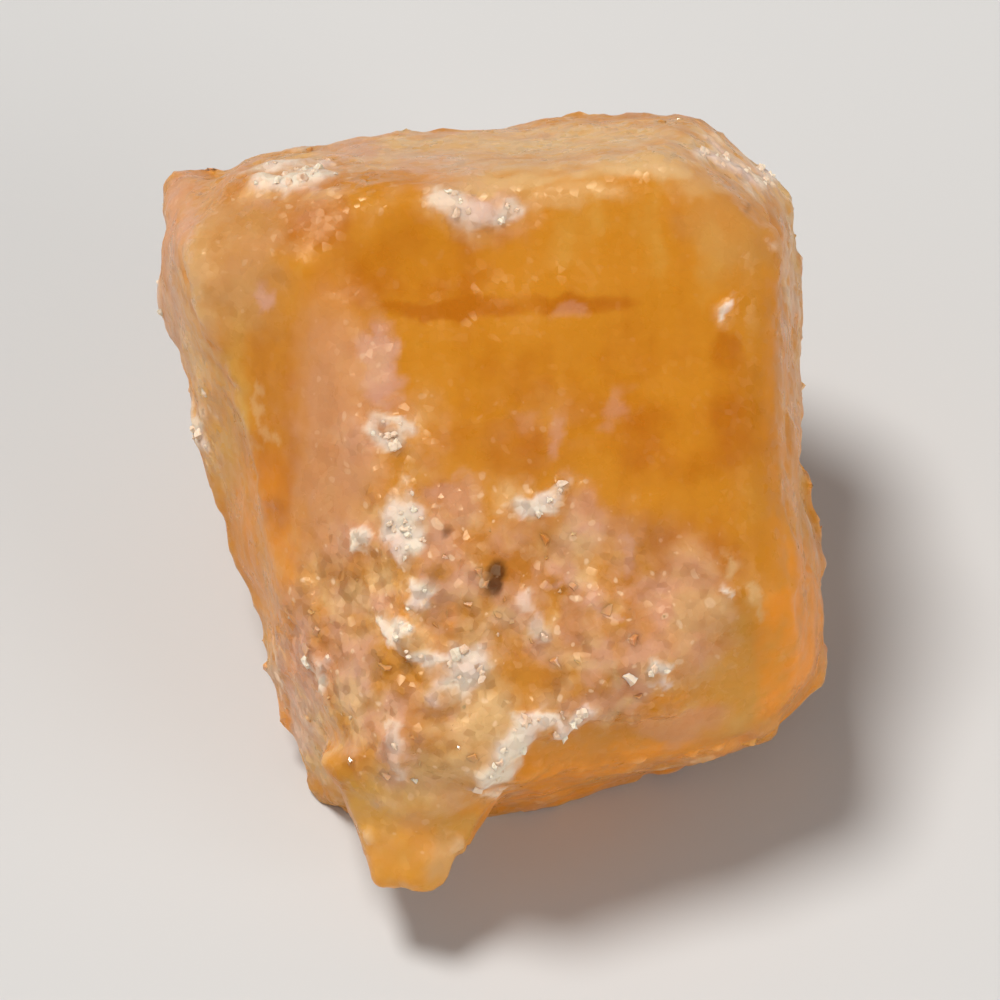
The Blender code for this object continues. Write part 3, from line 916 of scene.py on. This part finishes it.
def relief_height(tree, given, place):
    """The height of all the relief at a place, in metres along the normal."""
    frost, crust = stored(tree, "frost"), stored(tree, "crust")
    chips_at = warped(tree, place, *CHIP_WARP)
    chips = facet_height(tree, chips_at, given["Chip size"], given["Chip tilt"], STEP_SOFTNESS)
    chips = maths(tree, "MULTIPLY", chips, stored(tree, "rugged"))
    bent = warped(tree, place, *SUGAR_WARP)
    coarse = facet_height(tree, bent, given["Facet size"], given["Facet tilt"], STEP_SOFTNESS)
    fine = facet_height(tree, bent, given["Fine facet size"], given["Fine facet tilt"], STEP_SOFTNESS)
    facets = maths(tree, "MULTIPLY", maths(tree, "ADD", coarse, fine), frost)
    soft = waves(tree, place, given["Wave size"], given["Wave height"])
    upright = vector_maths(tree, "MULTIPLY", place, FLUTE_STRETCH)
    flutes = waves(tree, upright, given["Flute size"], given["Flute height"], detail=1.0)
    crumbs = waves(tree, place, given["Crumb size"], given["Crumb height"], detail=3.0)
    caked = maths(tree, "MULTIPLY", maths(tree, "ADD", given["Crust height"], crumbs), crust)
    height = maths(tree, "ADD", maths(tree, "ADD", facets, caked), maths(tree, "ADD", soft, flutes))
    return maths(tree, "ADD", maths(tree, "ADD", height, chips), stored(tree, "rise"))


def end_tree(tree, geometry, material):
    """Ends a geometry tree: real geometry, with a material."""
    solid = add_node(tree, "GeometryNodeRealizeInstances", {"Geometry": geometry}).outputs[0]
    dressed = add_node(tree, "GeometryNodeSetMaterial", {"Geometry": solid, "Material": material})
    add_node(tree, "NodeGroupOutput", {"Geometry": dressed.outputs[0]})


def relief_tree():
    """A tree that raises crystal facets, waves and crust on a skin, and keeps it above the floor."""
    tree = bpy.data.node_groups.new("crystal_relief", "GeometryNodeTree")
    tree_input(tree, "Geometry", "NodeSocketGeometry")
    tree_output(tree, "Geometry", "NodeSocketGeometry")
    for name, value in RELIEF.items():
        tree_input(tree, name, "NodeSocketFloat", value)
    tree_input(tree, "Material", "NodeSocketMaterial")
    given = add_node(tree, "NodeGroupInput").outputs
    place = add_node(tree, "GeometryNodeInputPosition").outputs[0]
    normal = add_node(tree, "GeometryNodeInputNormal").outputs[0]
    offset = scaled(tree, normal, relief_height(tree, given, place))
    raised = add_node(tree, "GeometryNodeSetPosition", {"Geometry": given["Geometry"], "Offset": offset})
    level = vector_maths(tree, "MAXIMUM", place, FLOOR)
    on_floor = add_node(tree, "GeometryNodeSetPosition", {"Geometry": raised.outputs[0], "Position": level})
    end_tree(tree, on_floor.outputs[0], given["Material"])
    return tree


RELIEF_TREE = relief_tree()
print("relief tree:", len(RELIEF_TREE.nodes), "nodes and", len(RELIEF), "named sizes")

# %% [markdown]
# ## Crystals and crumbs, one of each kind
#
# Loose sugar stays on every lump: clear crystals stuck in the frost, and dry white crumbs where crust has
# caked. A sugar crystal is a block with slanting ends, so three slightly different ones are cut from a
# cube by planes. A crumb is rounder, so three are pushed out of shape from a coarse ball. Both keep to a
# few dozen faces, because they are repeated hundreds of times, and all are about a metre long, to be
# scaled later.

# %% Crystal blocks
CRYSTAL_CUTS = {  # direction of each cut, and how far from the middle of a unit block it lies
    "tablet": (((1, 0, 0.7), 0.52), ((-1, 0, -0.7), 0.52), ((0.6, 1, 0), 0.58), ((-0.6, -1, 0.2), 0.56)),
    "prism": (((1, 1, 0), 0.54), ((-1, -1, 0), 0.54), ((1, -1, 0.5), 0.60), ((-1, 1, -0.4), 0.58)),
    "chip": (((1, 0.4, 0.9), 0.44), ((-0.8, 1, 0.3), 0.50), ((0.2, -1, -0.8), 0.46), ((-1, -0.3, 0.9), 0.55)),
}
CRYSTAL_SHAPE = {"tablet": (1.0, 0.8, 0.45), "prism": (0.62, 0.62, 1.1), "chip": (0.9, 0.7, 0.7)}


def block_object(name, bm):
    """An object made from a bmesh, not yet in the scene."""
    mesh = bpy.data.meshes.new(name)
    bm.to_mesh(mesh)
    bm.free()
    return bpy.data.objects.new(name, mesh)


def crystal_block(name):
    """One sugar crystal, cut from a cube."""
    bm = bmesh.new()
    bmesh.ops.create_cube(bm, size=1.0)
    for direction, distance in CRYSTAL_CUTS[name]:
        away = Vector(direction).normalized()
        everything = bm.verts[:] + bm.edges[:] + bm.faces[:]
        bmesh.ops.bisect_plane(bm, geom=everything, plane_co=away * distance, plane_no=away, clear_outer=True)
        bmesh.ops.holes_fill(bm, edges=[edge for edge in bm.edges if edge.is_boundary])
    bmesh.ops.transform(bm, matrix=Matrix.Diagonal((*CRYSTAL_SHAPE[name], 1.0)), verts=bm.verts)
    bmesh.ops.triangulate(bm, faces=bm.faces)
    bmesh.ops.recalc_face_normals(bm, faces=bm.faces)
    return block_object(name, bm)


crystal_blocks = bpy.data.collections.new("crystal_blocks")
for name in CRYSTAL_CUTS:
    crystal_blocks.objects.link(crystal_block(name))

# %% Crumb blocks
CRUMB_SEEDS = (4.1, 8.2, 12.3)
CRUMB_SEGMENTS, CRUMB_RINGS = 7, 5
CRUMB_WAVES, CRUMB_SWING = 2.6, 0.9  # waves in a metre, and how far they push
CRUMB_SHAPE = (1.0, 0.8, 0.65)


def crumb_block(name, seed):
    """One angular crumb of crust, pushed out of shape from a ball."""
    bm = bmesh.new()
    bmesh.ops.create_uvsphere(bm, u_segments=CRUMB_SEGMENTS, v_segments=CRUMB_RINGS, radius=0.5)
    for vert in bm.verts:
        push = noise.noise(vert.co * CRUMB_WAVES + Vector((seed, 0.0, 0.0)))
        vert.co *= 1.0 + CRUMB_SWING * push
    bmesh.ops.transform(bm, matrix=Matrix.Diagonal((*CRUMB_SHAPE, 1.0)), verts=bm.verts)
    return block_object(name, bm)


crumb_blocks = bpy.data.collections.new("crumb_blocks")
for number, seed in enumerate(CRUMB_SEEDS, 1):
    crumb_blocks.objects.link(crumb_block(f"crumb_{number}", seed))

# %% [markdown]
# ## Scattering them
#
# Grains lie where their zone is strong, close together in clumps and well above the floor. They could be
# a particle system, but a geometry tree is easier to steer. It drops points on the skin, sinks a block at
# each one, and turns and sizes it by chance, with a fixed seed. Small grains are far commoner than large
# ones, so the chance is skewed by a power. At the end the copies are realised, because a finished piece
# has to be one plain mesh.

# %% Scatter tree
SCATTER_INPUTS = {
    "Zone from": 0.4,
    "Zone to": 0.9,
    "Density": 1.0e6,
    "Spacing": 0.3 * MM,
    "Smallest": 0.3 * MM,
    "Largest": 0.6 * MM,
    "Clumping": 0.5,
    "Sunk": 0.25,
}
OFF_FLOOR = (0.7 * MM, 2.0 * MM)
CLUMP_SIZE, CLUMP_LEVELS = 1.7 * MM, (0.42, 0.62)
SMALL_SKEW = 2.2
SIZE_SHIFT, SHADE_SHIFT = 1.0, 2.0  # keep the chances of size and shade apart from that of the turn


def chance(tree, seed, shift):
    """A random number from 0 to 1 for each grain."""
    feeds = {"Seed": maths(tree, "ADD", seed, shift)}
    return add_node(tree, "FunctionNodeRandomValue", feeds).outputs[1]


def dropped_points(tree, given):
    """Points on the skin where the zone is strong, in clumps and off the floor."""
    place = add_node(tree, "GeometryNodeInputPosition").outputs[0]
    strength = remap(tree, stored(tree, given["Zone"]), given["Zone from"], given["Zone to"])
    height = add_node(tree, "ShaderNodeSeparateXYZ", {0: place}).outputs["Z"]
    off_floor = remap(tree, height, *OFF_FLOOR)
    clump = remap(tree, soft_noise(tree, place, CLUMP_SIZE)[0], *CLUMP_LEVELS)
    clump = mix_numbers(tree, given["Clumping"], 1.0, clump)
    feeds = {
        "Mesh": given["Geometry"],
        "Distance Min": given["Spacing"],
        "Density Max": given["Density"],
        "Density Factor": maths(tree, "MULTIPLY", maths(tree, "MULTIPLY", strength, off_floor), clump),
        "Seed": given["Seed"],
    }
    return add_node(tree, "GeometryNodeDistributePointsOnFaces", feeds, distribute_method="POISSON").outputs


def placed_blocks(tree, given, dropped):
    """A block at each point, sunk, turned and sized by chance, with a number of its own for its shade."""
    skewed = maths(tree, "POWER", chance(tree, given["Seed"], SIZE_SHIFT), SMALL_SKEW)
    size = mix_numbers(tree, skewed, given["Smallest"], given["Largest"])
    depth = maths(tree, "MULTIPLY", size, maths(tree, "MULTIPLY", given["Sunk"], -1.0))
    feeds = {"Geometry": dropped["Points"], "Offset": scaled(tree, dropped["Normal"], depth)}
    sunk = add_node(tree, "GeometryNodeSetPosition", feeds)
    feeds = {"Collection": given["Blocks"], "Separate Children": True, "Reset Children": True}
    blocks = add_node(tree, "GeometryNodeCollectionInfo", feeds)
    feeds = {"Min": (0.0, 0.0, 0.0), "Max": (math.tau, math.tau, math.tau), "Seed": given["Seed"]}
    turned = add_node(tree, "FunctionNodeRandomValue", feeds, data_type="FLOAT_VECTOR")
    feeds = {"Points": sunk.outputs[0], "Instance": blocks.outputs[0], "Pick Instance": True}
    feeds.update({"Rotation": turned.outputs[0], "Scale": size})
    placed = add_node(tree, "GeometryNodeInstanceOnPoints", feeds)
    shade = chance(tree, given["Seed"], SHADE_SHIFT)
    feeds = {"Geometry": placed.outputs[0], "Name": "own_shade", "Value": shade}
    return add_node(tree, "GeometryNodeStoreNamedAttribute", feeds, data_type="FLOAT", domain="INSTANCE")


def scatter_tree():
    """A tree that scatters blocks over a skin where a stored zone is strong."""
    tree = bpy.data.node_groups.new("scattered_grains", "GeometryNodeTree")
    tree_input(tree, "Geometry", "NodeSocketGeometry")
    tree_output(tree, "Geometry", "NodeSocketGeometry")
    tree_input(tree, "Blocks", "NodeSocketCollection")
    tree_input(tree, "Zone", "NodeSocketString", "")
    tree_input(tree, "Material", "NodeSocketMaterial")
    for name, value in SCATTER_INPUTS.items():
        tree_input(tree, name, "NodeSocketFloat", value)
    tree_input(tree, "Seed", "NodeSocketInt", 1)
    given = add_node(tree, "NodeGroupInput").outputs
    placed = placed_blocks(tree, given, dropped_points(tree, given))
    end_tree(tree, placed.outputs[0], given["Material"])
    return tree


SCATTER_TREE = scatter_tree()
print("scatter tree:", len(SCATTER_TREE.nodes), "nodes")

# %% [markdown]
# ## Glitter and the sugar's colour
#
# Three finishes share two effects. The first is the glitter of sugar: flat facets far too small to model,
# each tilted its own way, which catch the light one by one. The second is the colour of the lump, read
# from the zones at its points, which the crystals on it share. Each is a shader group, so that a finish
# only says how large and how strong it wants it. A group is also the one place to change the effect for
# all of them.


# %% Glitter group
def glitter_group():
    """A group whose height makes tiny facets, each tilted its own way."""
    tree = bpy.data.node_groups.new("sugar_glitter", "ShaderNodeTree")
    tree_input(tree, "Size", "NodeSocketFloat", 0.3 * MM)
    tree_input(tree, "Tilt", "NodeSocketFloat", 0.5)
    tree_output(tree, "Height", "NodeSocketFloat")
    given = add_node(tree, "NodeGroupInput").outputs
    place = add_node(tree, "ShaderNodeTexCoord").outputs["Object"]
    facets = facet_height(tree, place, given["Size"], given["Tilt"])
    add_node(tree, "NodeGroupOutput", {"Height": facets})
    return tree


GLITTER = glitter_group()
print("glitter group:", len(GLITTER.nodes), "nodes")


# %% Colours of the lump
def srgb(red, green, blue):
    """A colour given in everyday 0-255 values, as the linear values that a shader takes."""
    parts = [value / 255 for value in (red, green, blue)]
    return (*[p / 12.92 if p <= 0.04045 else ((p + 0.055) / 1.055) ** 2.4 for p in parts], 1.0)


DEEP_AMBER = srgb(184, 104, 16)
AMBER = srgb(202, 128, 30)
GOLD_AMBER = srgb(208, 150, 64)
FAWN_COLOUR = srgb(196, 140, 80)
# painted light: the glow of corners lit through and of faces turned away from the lights
PAINTED_GLOW_COLOUR = srgb(240, 146, 30)
FROST_COLOUR = srgb(230, 184, 128)
LILAC_FROST = srgb(216, 160, 130)
# partly painted sheen, partly rosy frost
BLUSH_AND_SHEEN_COLOUR = srgb(208, 152, 130)
# partly painted light, partly pale sugar
PALE_AND_LIT_COLOUR = srgb(220, 180, 126)
CRUST_COLOUR = srgb(240, 222, 198)
LILAC_CRUST = srgb(228, 196, 180)
# painted light: the paler colour of edges that light would come through
PAINTED_RIM_LIGHT = srgb(234, 178, 96)
SPECK_COLOUR = srgb(84, 44, 18)
DUST_COLOUR = srgb(244, 206, 166)
print("amber as a shader takes it:", [round(part, 3) for part in AMBER])

# %% [markdown]
# ## How the colours lie over each other
#
# The colours are laid on like glazes: amber by its tone first, then the tints, of which the glow, the rim
# light and part of the pale and blushing ones are painted light and sheen, then frost in ragged patches,
# crust in thicker ones, a dust of sugar grains, and the dark specks last. Each glaze is a mix by its own
# zone. Frost and crust are broken up by noise, because an even coat would look like paint, and the same noise
# goes out as Mottle, so that the finish can be duller where it is cloudy.

# %% Lump colour group
DEEP_TONES, GOLD_TONES = (0.0, 0.5), (0.5, 1.0)
PAINTED_RIM_LIGHT_COVER, FROST_COVER, DUST_COVER, SPECK_COVER = 0.3, 0.9, 0.65, 0.9
DRIFT_SIZE, MOTTLE_SIZE, DUST_SPACING = 3.0 * MM, 2.2 * MM, 0.8 * MM
DRIFT_IN_MOTTLE = 0.22
LILAC_LEVELS, FROST_LEVELS = (0.38, 0.62), (0.42, 0.78)
CRUST_LEVELS, CLOUDY_LEVELS = (0.28, 0.60), (0.40, 0.75)
DUST_RADIUS, DUST_SOFTNESS = 0.65, 0.12  # shares of the spacing
DUST_ON_BARE = 0.05


def shader_attribute(tree, name):
    """A number kept at the points of a mesh, read in a material."""
    return add_node(tree, "ShaderNodeAttribute", attribute_name=name).outputs["Fac"]


def amber_tones(tree):
    """Clear sugar by its tone, with the soft tints, partly painted light and sheen, and the painted rim light
    laid over it.
    """
    tone = shader_attribute(tree, "tone")
    colour = mix_colours(tree, remap(tree, tone, *DEEP_TONES), DEEP_AMBER, AMBER)
    colour = mix_colours(tree, remap(tree, tone, *GOLD_TONES), colour, GOLD_AMBER)
    # the glow is painted light, and pale and blush are partly painted light and sheen
    tints = {"painted_glow": PAINTED_GLOW_COLOUR, "fawn": FAWN_COLOUR, "pale_and_lit": PALE_AND_LIT_COLOUR, "blush_and_sheen": BLUSH_AND_SHEEN_COLOUR}
    for name, tint in tints.items():
        colour = mix_colours(tree, shader_attribute(tree, name), colour, tint)
    # painted light laid along the rims
    edge = maths(tree, "MULTIPLY", shader_attribute(tree, "rim"), PAINTED_RIM_LIGHT_COVER)
    return mix_colours(tree, edge, colour, PAINTED_RIM_LIGHT)


def dusted(tree, colour, place, fine):
    """Single grains of sugar in a colour, of all sizes up to the largest, mostly where there is frost."""
    grains = add_node(tree, "ShaderNodeTexVoronoi", {"Vector": place, "Scale": 1.0 / DUST_SPACING}).outputs
    chosen = add_node(tree, "ShaderNodeSeparateColor", {0: grains["Color"]}).outputs[0]
    reach = maths(tree, "MULTIPLY", maths(tree, "MULTIPLY", chosen, fine), DUST_RADIUS)
    dust = remap(tree, maths(tree, "SUBTRACT", reach, grains["Distance"]), 0.0, DUST_SOFTNESS)
    bed = maths(tree, "ADD", shader_attribute(tree, "frost"), DUST_ON_BARE)
    dust = maths(tree, "MULTIPLY", dust, bed)
    return mix_colours(tree, maths(tree, "MULTIPLY", dust, DUST_COVER), colour, DUST_COLOUR)


def colour_group():
    """A group that reads the zones kept at the points and puts out the colour of the sugar there."""
    tree = bpy.data.node_groups.new("lump_colour", "ShaderNodeTree")
    tree_output(tree, "Colour", "NodeSocketColor")
    tree_output(tree, "Mottle", "NodeSocketFloat")
    place = warped(tree, add_node(tree, "ShaderNodeTexCoord").outputs["Object"], *SUGAR_WARP)
    drift = soft_noise(tree, place, DRIFT_SIZE, detail=3.0)["Color"]
    drift = add_node(tree, "ShaderNodeSeparateColor", {0: drift}).outputs
    fine = soft_noise(tree, place, MOTTLE_SIZE, detail=5.0)[0]
    mottle = maths(tree, "ADD", fine, maths(tree, "MULTIPLY", drift[0], DRIFT_IN_MOTTLE))

    patchy = maths(tree, "MULTIPLY", shader_attribute(tree, "frost"), remap(tree, mottle, *FROST_LEVELS))
    frosted = mix_colours(tree, remap(tree, drift[1], *LILAC_LEVELS), FROST_COLOUR, LILAC_FROST)
    colour = mix_colours(tree, maths(tree, "MULTIPLY", patchy, FROST_COVER), amber_tones(tree), frosted)
    caked = maths(tree, "MULTIPLY", shader_attribute(tree, "crust"), remap(tree, mottle, *CRUST_LEVELS))
    dry = mix_colours(tree, shader_attribute(tree, "crust_tint"), CRUST_COLOUR, LILAC_CRUST)
    colour = dusted(tree, mix_colours(tree, caked, colour, dry), place, fine)
    speck = maths(tree, "MULTIPLY", shader_attribute(tree, "speck"), SPECK_COVER)
    colour = mix_colours(tree, speck, colour, SPECK_COLOUR)
    add_node(tree, "NodeGroupOutput", {"Colour": colour, "Mottle": remap(tree, mottle, *CLOUDY_LEVELS)})
    return tree


LUMP_COLOUR = colour_group()
print("lump colour group:", len(LUMP_COLOUR.nodes), "nodes")

# %% [markdown]
# ## Finishes
#
# Light goes a little way into sugar and comes out again, redder than it went in. That is subsurface
# scattering, and it is what makes the lump look like candy and not like clay. Light travels far in clear
# amber, less in frost and hardly at all in dry crust, so one scale is mixed from three depths. Loose
# crystals are glossier and the crumbs chalkier. The lump's shine is tinted warm, because its own colour
# shows in it.


# %% Amber sugar
def new_finish(name, **values):
    """A material with one Principled shader, whose plain values are set on its own sockets."""
    made = bpy.data.materials.new(name)
    made.use_nodes = True
    shader = made.node_tree.nodes["Principled BSDF"]
    for socket, value in values.items():
        shader.inputs[socket.replace("_", " ")].default_value = value
    return made, made.node_tree, shader


def glittering(tree, size, tilt, strength=1.0):
    """A normal roughened by the glitter group."""
    glitter = add_node(tree, "ShaderNodeGroup", {"Size": size, "Tilt": tilt}, node_tree=GLITTER)
    height = maths(tree, "MULTIPLY", glitter.outputs["Height"], strength)
    return add_node(tree, "ShaderNodeBump", {"Strength": 1.0, "Distance": 1.0, "Height": height}).outputs[0]


CLEAR_ROUGHNESS, CLOUDY_ROUGHNESS, CRUST_ROUGHNESS = 0.22, 0.42, 0.6
CLEAR_DEPTH, FROST_DEPTH, CRUST_DEPTH = 2.4 * MM, 1.1 * MM, 0.35 * MM
LUMP_GLITTER = (0.42 * MM, 1.1)  # size and tilt
CLEAR_GLITTER, FROST_GLITTER = 0.16, 1.0


def amber_sugar():
    """The body of the lump: amber that lets light in, frosted, crusted and worn by its zones."""
    made, tree, shader = new_finish(
        "amber_sugar",
        Subsurface_Weight=1.0,
        Subsurface_Radius=(1.0, 0.62, 0.34),
        Specular_IOR_Level=0.3,
        Specular_Tint=(1.0, 0.78, 0.5, 1.0),
        IOR=1.5,
    )
    shader.subsurface_method = "BURLEY"
    sugar = add_node(tree, "ShaderNodeGroup", node_tree=LUMP_COLOUR).outputs
    frost, crust = shader_attribute(tree, "frost"), shader_attribute(tree, "crust")
    rough = mix_numbers(tree, sugar["Mottle"], CLEAR_ROUGHNESS, CLOUDY_ROUGHNESS)
    depth = mix_numbers(tree, frost, CLEAR_DEPTH, FROST_DEPTH)
    strength = mix_numbers(tree, frost, CLEAR_GLITTER, FROST_GLITTER)
    feed(tree, shader, "Base Color", sugar["Colour"])
    feed(tree, shader, "Roughness", mix_numbers(tree, crust, rough, CRUST_ROUGHNESS))
    feed(tree, shader, "Subsurface Scale", mix_numbers(tree, crust, depth, CRUST_DEPTH))
    feed(tree, shader, "Normal", glittering(tree, *LUMP_GLITTER, strength))
    return made


AMBER_FINISH = amber_sugar()
print("amber sugar:", len(AMBER_FINISH.node_tree.nodes), "nodes")

# %% Loose crystals and crumbs
HONEY, LIGHT_HONEY, WHITE_CRYSTAL = srgb(208, 138, 60), srgb(228, 180, 132), srgb(250, 224, 204)
HONEY_LEVELS, WHITE_LEVELS = (0.0, 0.85), (0.93, 0.98)
HONEY_SHARE = 0.35  # the rest is the lump's colour under the crystal
SHADED_CRUMB, BRIGHT_CRUMB = srgb(238, 206, 176), srgb(250, 234, 212)
CRYSTAL_GLITTER, CRUMB_GLITTER = (0.45 * MM, 0.16), (0.25 * MM, 0.6)


def crystal_sugar():
    """Crystals grown on the lump: glossy, near its own colour, and a few of them white."""
    made, tree, shader = new_finish(
        "crystal_sugar",
        Roughness=0.13,
        Subsurface_Weight=1.0,
        Subsurface_Radius=(1.0, 0.75, 0.5),
        Subsurface_Scale=0.3 * MM,
        IOR=1.56,
    )
    shade = shader_attribute(tree, "own_shade")
    local = add_node(tree, "ShaderNodeGroup", node_tree=LUMP_COLOUR).outputs["Colour"]
    honey = mix_colours(tree, remap(tree, shade, *HONEY_LEVELS), HONEY, LIGHT_HONEY)
    colour = mix_colours(tree, HONEY_SHARE, local, honey)
    colour = mix_colours(tree, remap(tree, shade, *WHITE_LEVELS), colour, WHITE_CRYSTAL)
    feed(tree, shader, "Base Color", colour)
    feed(tree, shader, "Normal", glittering(tree, *CRYSTAL_GLITTER))
    return made


def crust_sugar():
    """Dry white crumbs of crust."""
    made, tree, shader = new_finish(
        "crust_sugar",
        Roughness=0.5,
        Subsurface_Weight=1.0,
        Subsurface_Radius=(1.0, 0.95, 0.9),
        Subsurface_Scale=0.05 * MM,
    )
    shade = shader_attribute(tree, "own_shade")
    feed(tree, shader, "Base Color", mix_colours(tree, shade, SHADED_CRUMB, BRIGHT_CRUMB))
    feed(tree, shader, "Normal", glittering(tree, *CRUMB_GLITTER))
    return made


CRYSTAL_FINISH, CRUMB_FINISH = crystal_sugar(), crust_sugar()
print("crystal sugar:", len(CRYSTAL_FINISH.node_tree.nodes), "nodes")
print("crust sugar:", len(CRUMB_FINISH.node_tree.nodes), "nodes")

# %% [markdown]
# ## Dressing the lump
#
# Now the steps are put together. The relief tree turns the even skin into the finished lump, and the
# scatter tree drops crystals and crumbs on it. The skin and the single blocks were only there to be
# worked on, so they go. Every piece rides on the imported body, and the lump takes the place of the plain
# solid.

# %% The lump
holder = new_piece("skin", skin)
body = new_piece("amber_lump", run_tree(holder, RELIEF_TREE, {**RELIEF, "Material": AMBER_FINISH}))
body.data.shade_smooth()
bpy.data.objects.remove(holder)
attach(body, "root")
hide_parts("sugar_lump")
print("amber_lump:", triangle_count(body.data), "triangles")

# %% Crystals and crumbs on the lump
CRYSTALS = {
    "Blocks": crystal_blocks,
    "Material": CRYSTAL_FINISH,
    "Zone": "crystal_bed",
    "Zone from": 0.2,
    "Zone to": 0.9,
    "Density": 0.75e6,
    "Spacing": 0.75 * MM,
    "Smallest": 0.4 * MM,
    "Largest": 1.3 * MM,
    "Clumping": 0.9,
    "Sunk": 0.4,
    "Seed": 3,
}
CRUMBS = {
    "Blocks": crumb_blocks,
    "Material": CRUMB_FINISH,
    "Zone": "crust",
    "Zone from": 0.4,
    "Zone to": 1.0,
    "Density": 3.0e6,
    "Spacing": 0.3 * MM,
    "Smallest": 0.3 * MM,
    "Largest": 0.95 * MM,
    "Clumping": 0.4,
    "Sunk": 0.14,
    "Seed": 23,
}
LOOSE = {  # what the scatter tree is told, and the slot
    "sugar_crystals": (CRYSTALS, "sugar_crystal"),
    "crust_crumbs": (CRUMBS, "sugar_crust"),
}

for name, (values, slot) in LOOSE.items():
    piece = new_piece(name, run_tree(body, SCATTER_TREE, values))
    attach(piece, "root")
    print(name + ":", triangle_count(piece.data), "triangles")
for block in [*crystal_blocks.objects, *crumb_blocks.objects]:
    bpy.data.objects.remove(block)

# %% [markdown]
# ## Floor and light
#
# The lump lies on a plain pale floor. A fairly small key light from above makes the soft shadow and the
# waxy sheen, and two much wider ones from the left and the right open up the shaded bevels. Suns are used
# and not lamps, because their light is even over the whole floor. The room adds a faint light from
# everywhere, and a camera sees it as a plain pale wall.

# %% Floor
FLOOR_SIZE = 4.0
FLOOR_COLOUR = (0.63, 0.622, 0.61, 1.0)

bpy.ops.mesh.primitive_plane_add(size=FLOOR_SIZE)
floor = bpy.context.object
floor.name = "floor"
pale_floor = new_finish("pale_floor", Base_Color=FLOOR_COLOUR, Roughness=0.7, Specular_IOR_Level=0.2)[0]
floor.data.materials.append(pale_floor)
print("floor:", FLOOR_SIZE, "m wide")

# %% Lights
WARM_WHITE = (1.0, 0.985, 0.965)
PURE_WHITE = (1.0, 1.0, 1.0)
LIGHTS = {  # direction along u, v and w, spread in degrees, strength, colour
    "key": ((-0.16, 0.36, 0.32), 18.0, 2.75, WARM_WHITE),
    "left": ((-0.46, -0.15, 0.20), 50.0, 0.8, PURE_WHITE),
    "fill": ((0.40, -0.14, 0.26), 40.0, 1.35, WARM_WHITE),
}

for name, (towards, spread, strength, colour) in LIGHTS.items():
    light = bpy.data.lights.new(name, "SUN")
    light.angle = math.radians(spread)
    light.energy = strength
    light.color = colour
    lamp = bpy.data.objects.new(name, light)
    bpy.context.scene.collection.objects.link(lamp)
    away = U_AXIS * towards[0] + V_AXIS * towards[1] + W_AXIS * towards[2]
    lamp.rotation_euler = away.to_track_quat("Z", "Y").to_euler()
    print(name, "light:", spread, "degrees wide")

# %% Room
ROOM_LIGHT, ROOM_LIGHT_COLOUR = 0.18, (0.97, 0.98, 1.0, 1.0)
WALL_COLOUR = (0.90, 0.89, 0.875, 1.0)

world = bpy.data.worlds.new("pale_room")
bpy.context.scene.world = world
world.use_nodes = True
room = world.node_tree
room.nodes.clear()
around = add_node(room, "ShaderNodeBackground", {"Color": ROOM_LIGHT_COLOUR, "Strength": ROOM_LIGHT})
wall = add_node(room, "ShaderNodeBackground", {"Color": WALL_COLOUR, "Strength": 1.0})
is_seen = add_node(room, "ShaderNodeLightPath").outputs["Is Camera Ray"]
both = add_node(room, "ShaderNodeMixShader", {0: is_seen, 1: around.outputs[0], 2: wall.outputs[0]})
add_node(room, "ShaderNodeOutputWorld", {"Surface": both.outputs[0]})
bpy.context.scene.view_settings.view_transform = "Standard"
print("room:", len(room.nodes), "nodes")

# %% [markdown]
# ## Camera
#
# The camera looks square at the shown face, from 55 degrees above the floor, along the w axis. It stands
# well back with a long lens, as for a small thing on a table, so that the near edges don't look swollen.
# The lens is worked out from the share of the picture that the lump should fill.

# %% Camera
CAMERA_DISTANCE = 0.32
LUMP_SHARE = 0.78  # share of the picture's height that the lump fills
SENSOR_WIDTH = 36.0  # mm
CLIP_START = 0.01

camera_data = bpy.data.cameras.new("camera")
camera = bpy.data.objects.new("camera", camera_data)
bpy.context.scene.collection.objects.link(camera)
bpy.context.scene.camera = camera
aim = U_AXIS * FACE_MIDDLE[0] + V_AXIS * FACE_MIDDLE[1] + W_AXIS * FACE_MIDDLE[2]
camera_data.sensor_width = SENSOR_WIDTH
camera_data.lens = CAMERA_DISTANCE * SENSOR_WIDTH * LUMP_SHARE / FACE_SIZE[1]
camera.location = aim + W_AXIS * CAMERA_DISTANCE
camera.rotation_euler = W_AXIS.to_track_quat("Z", "Y").to_euler()
camera_data.clip_start = CLIP_START
print("lens, mm:", round(camera_data.lens, 1))
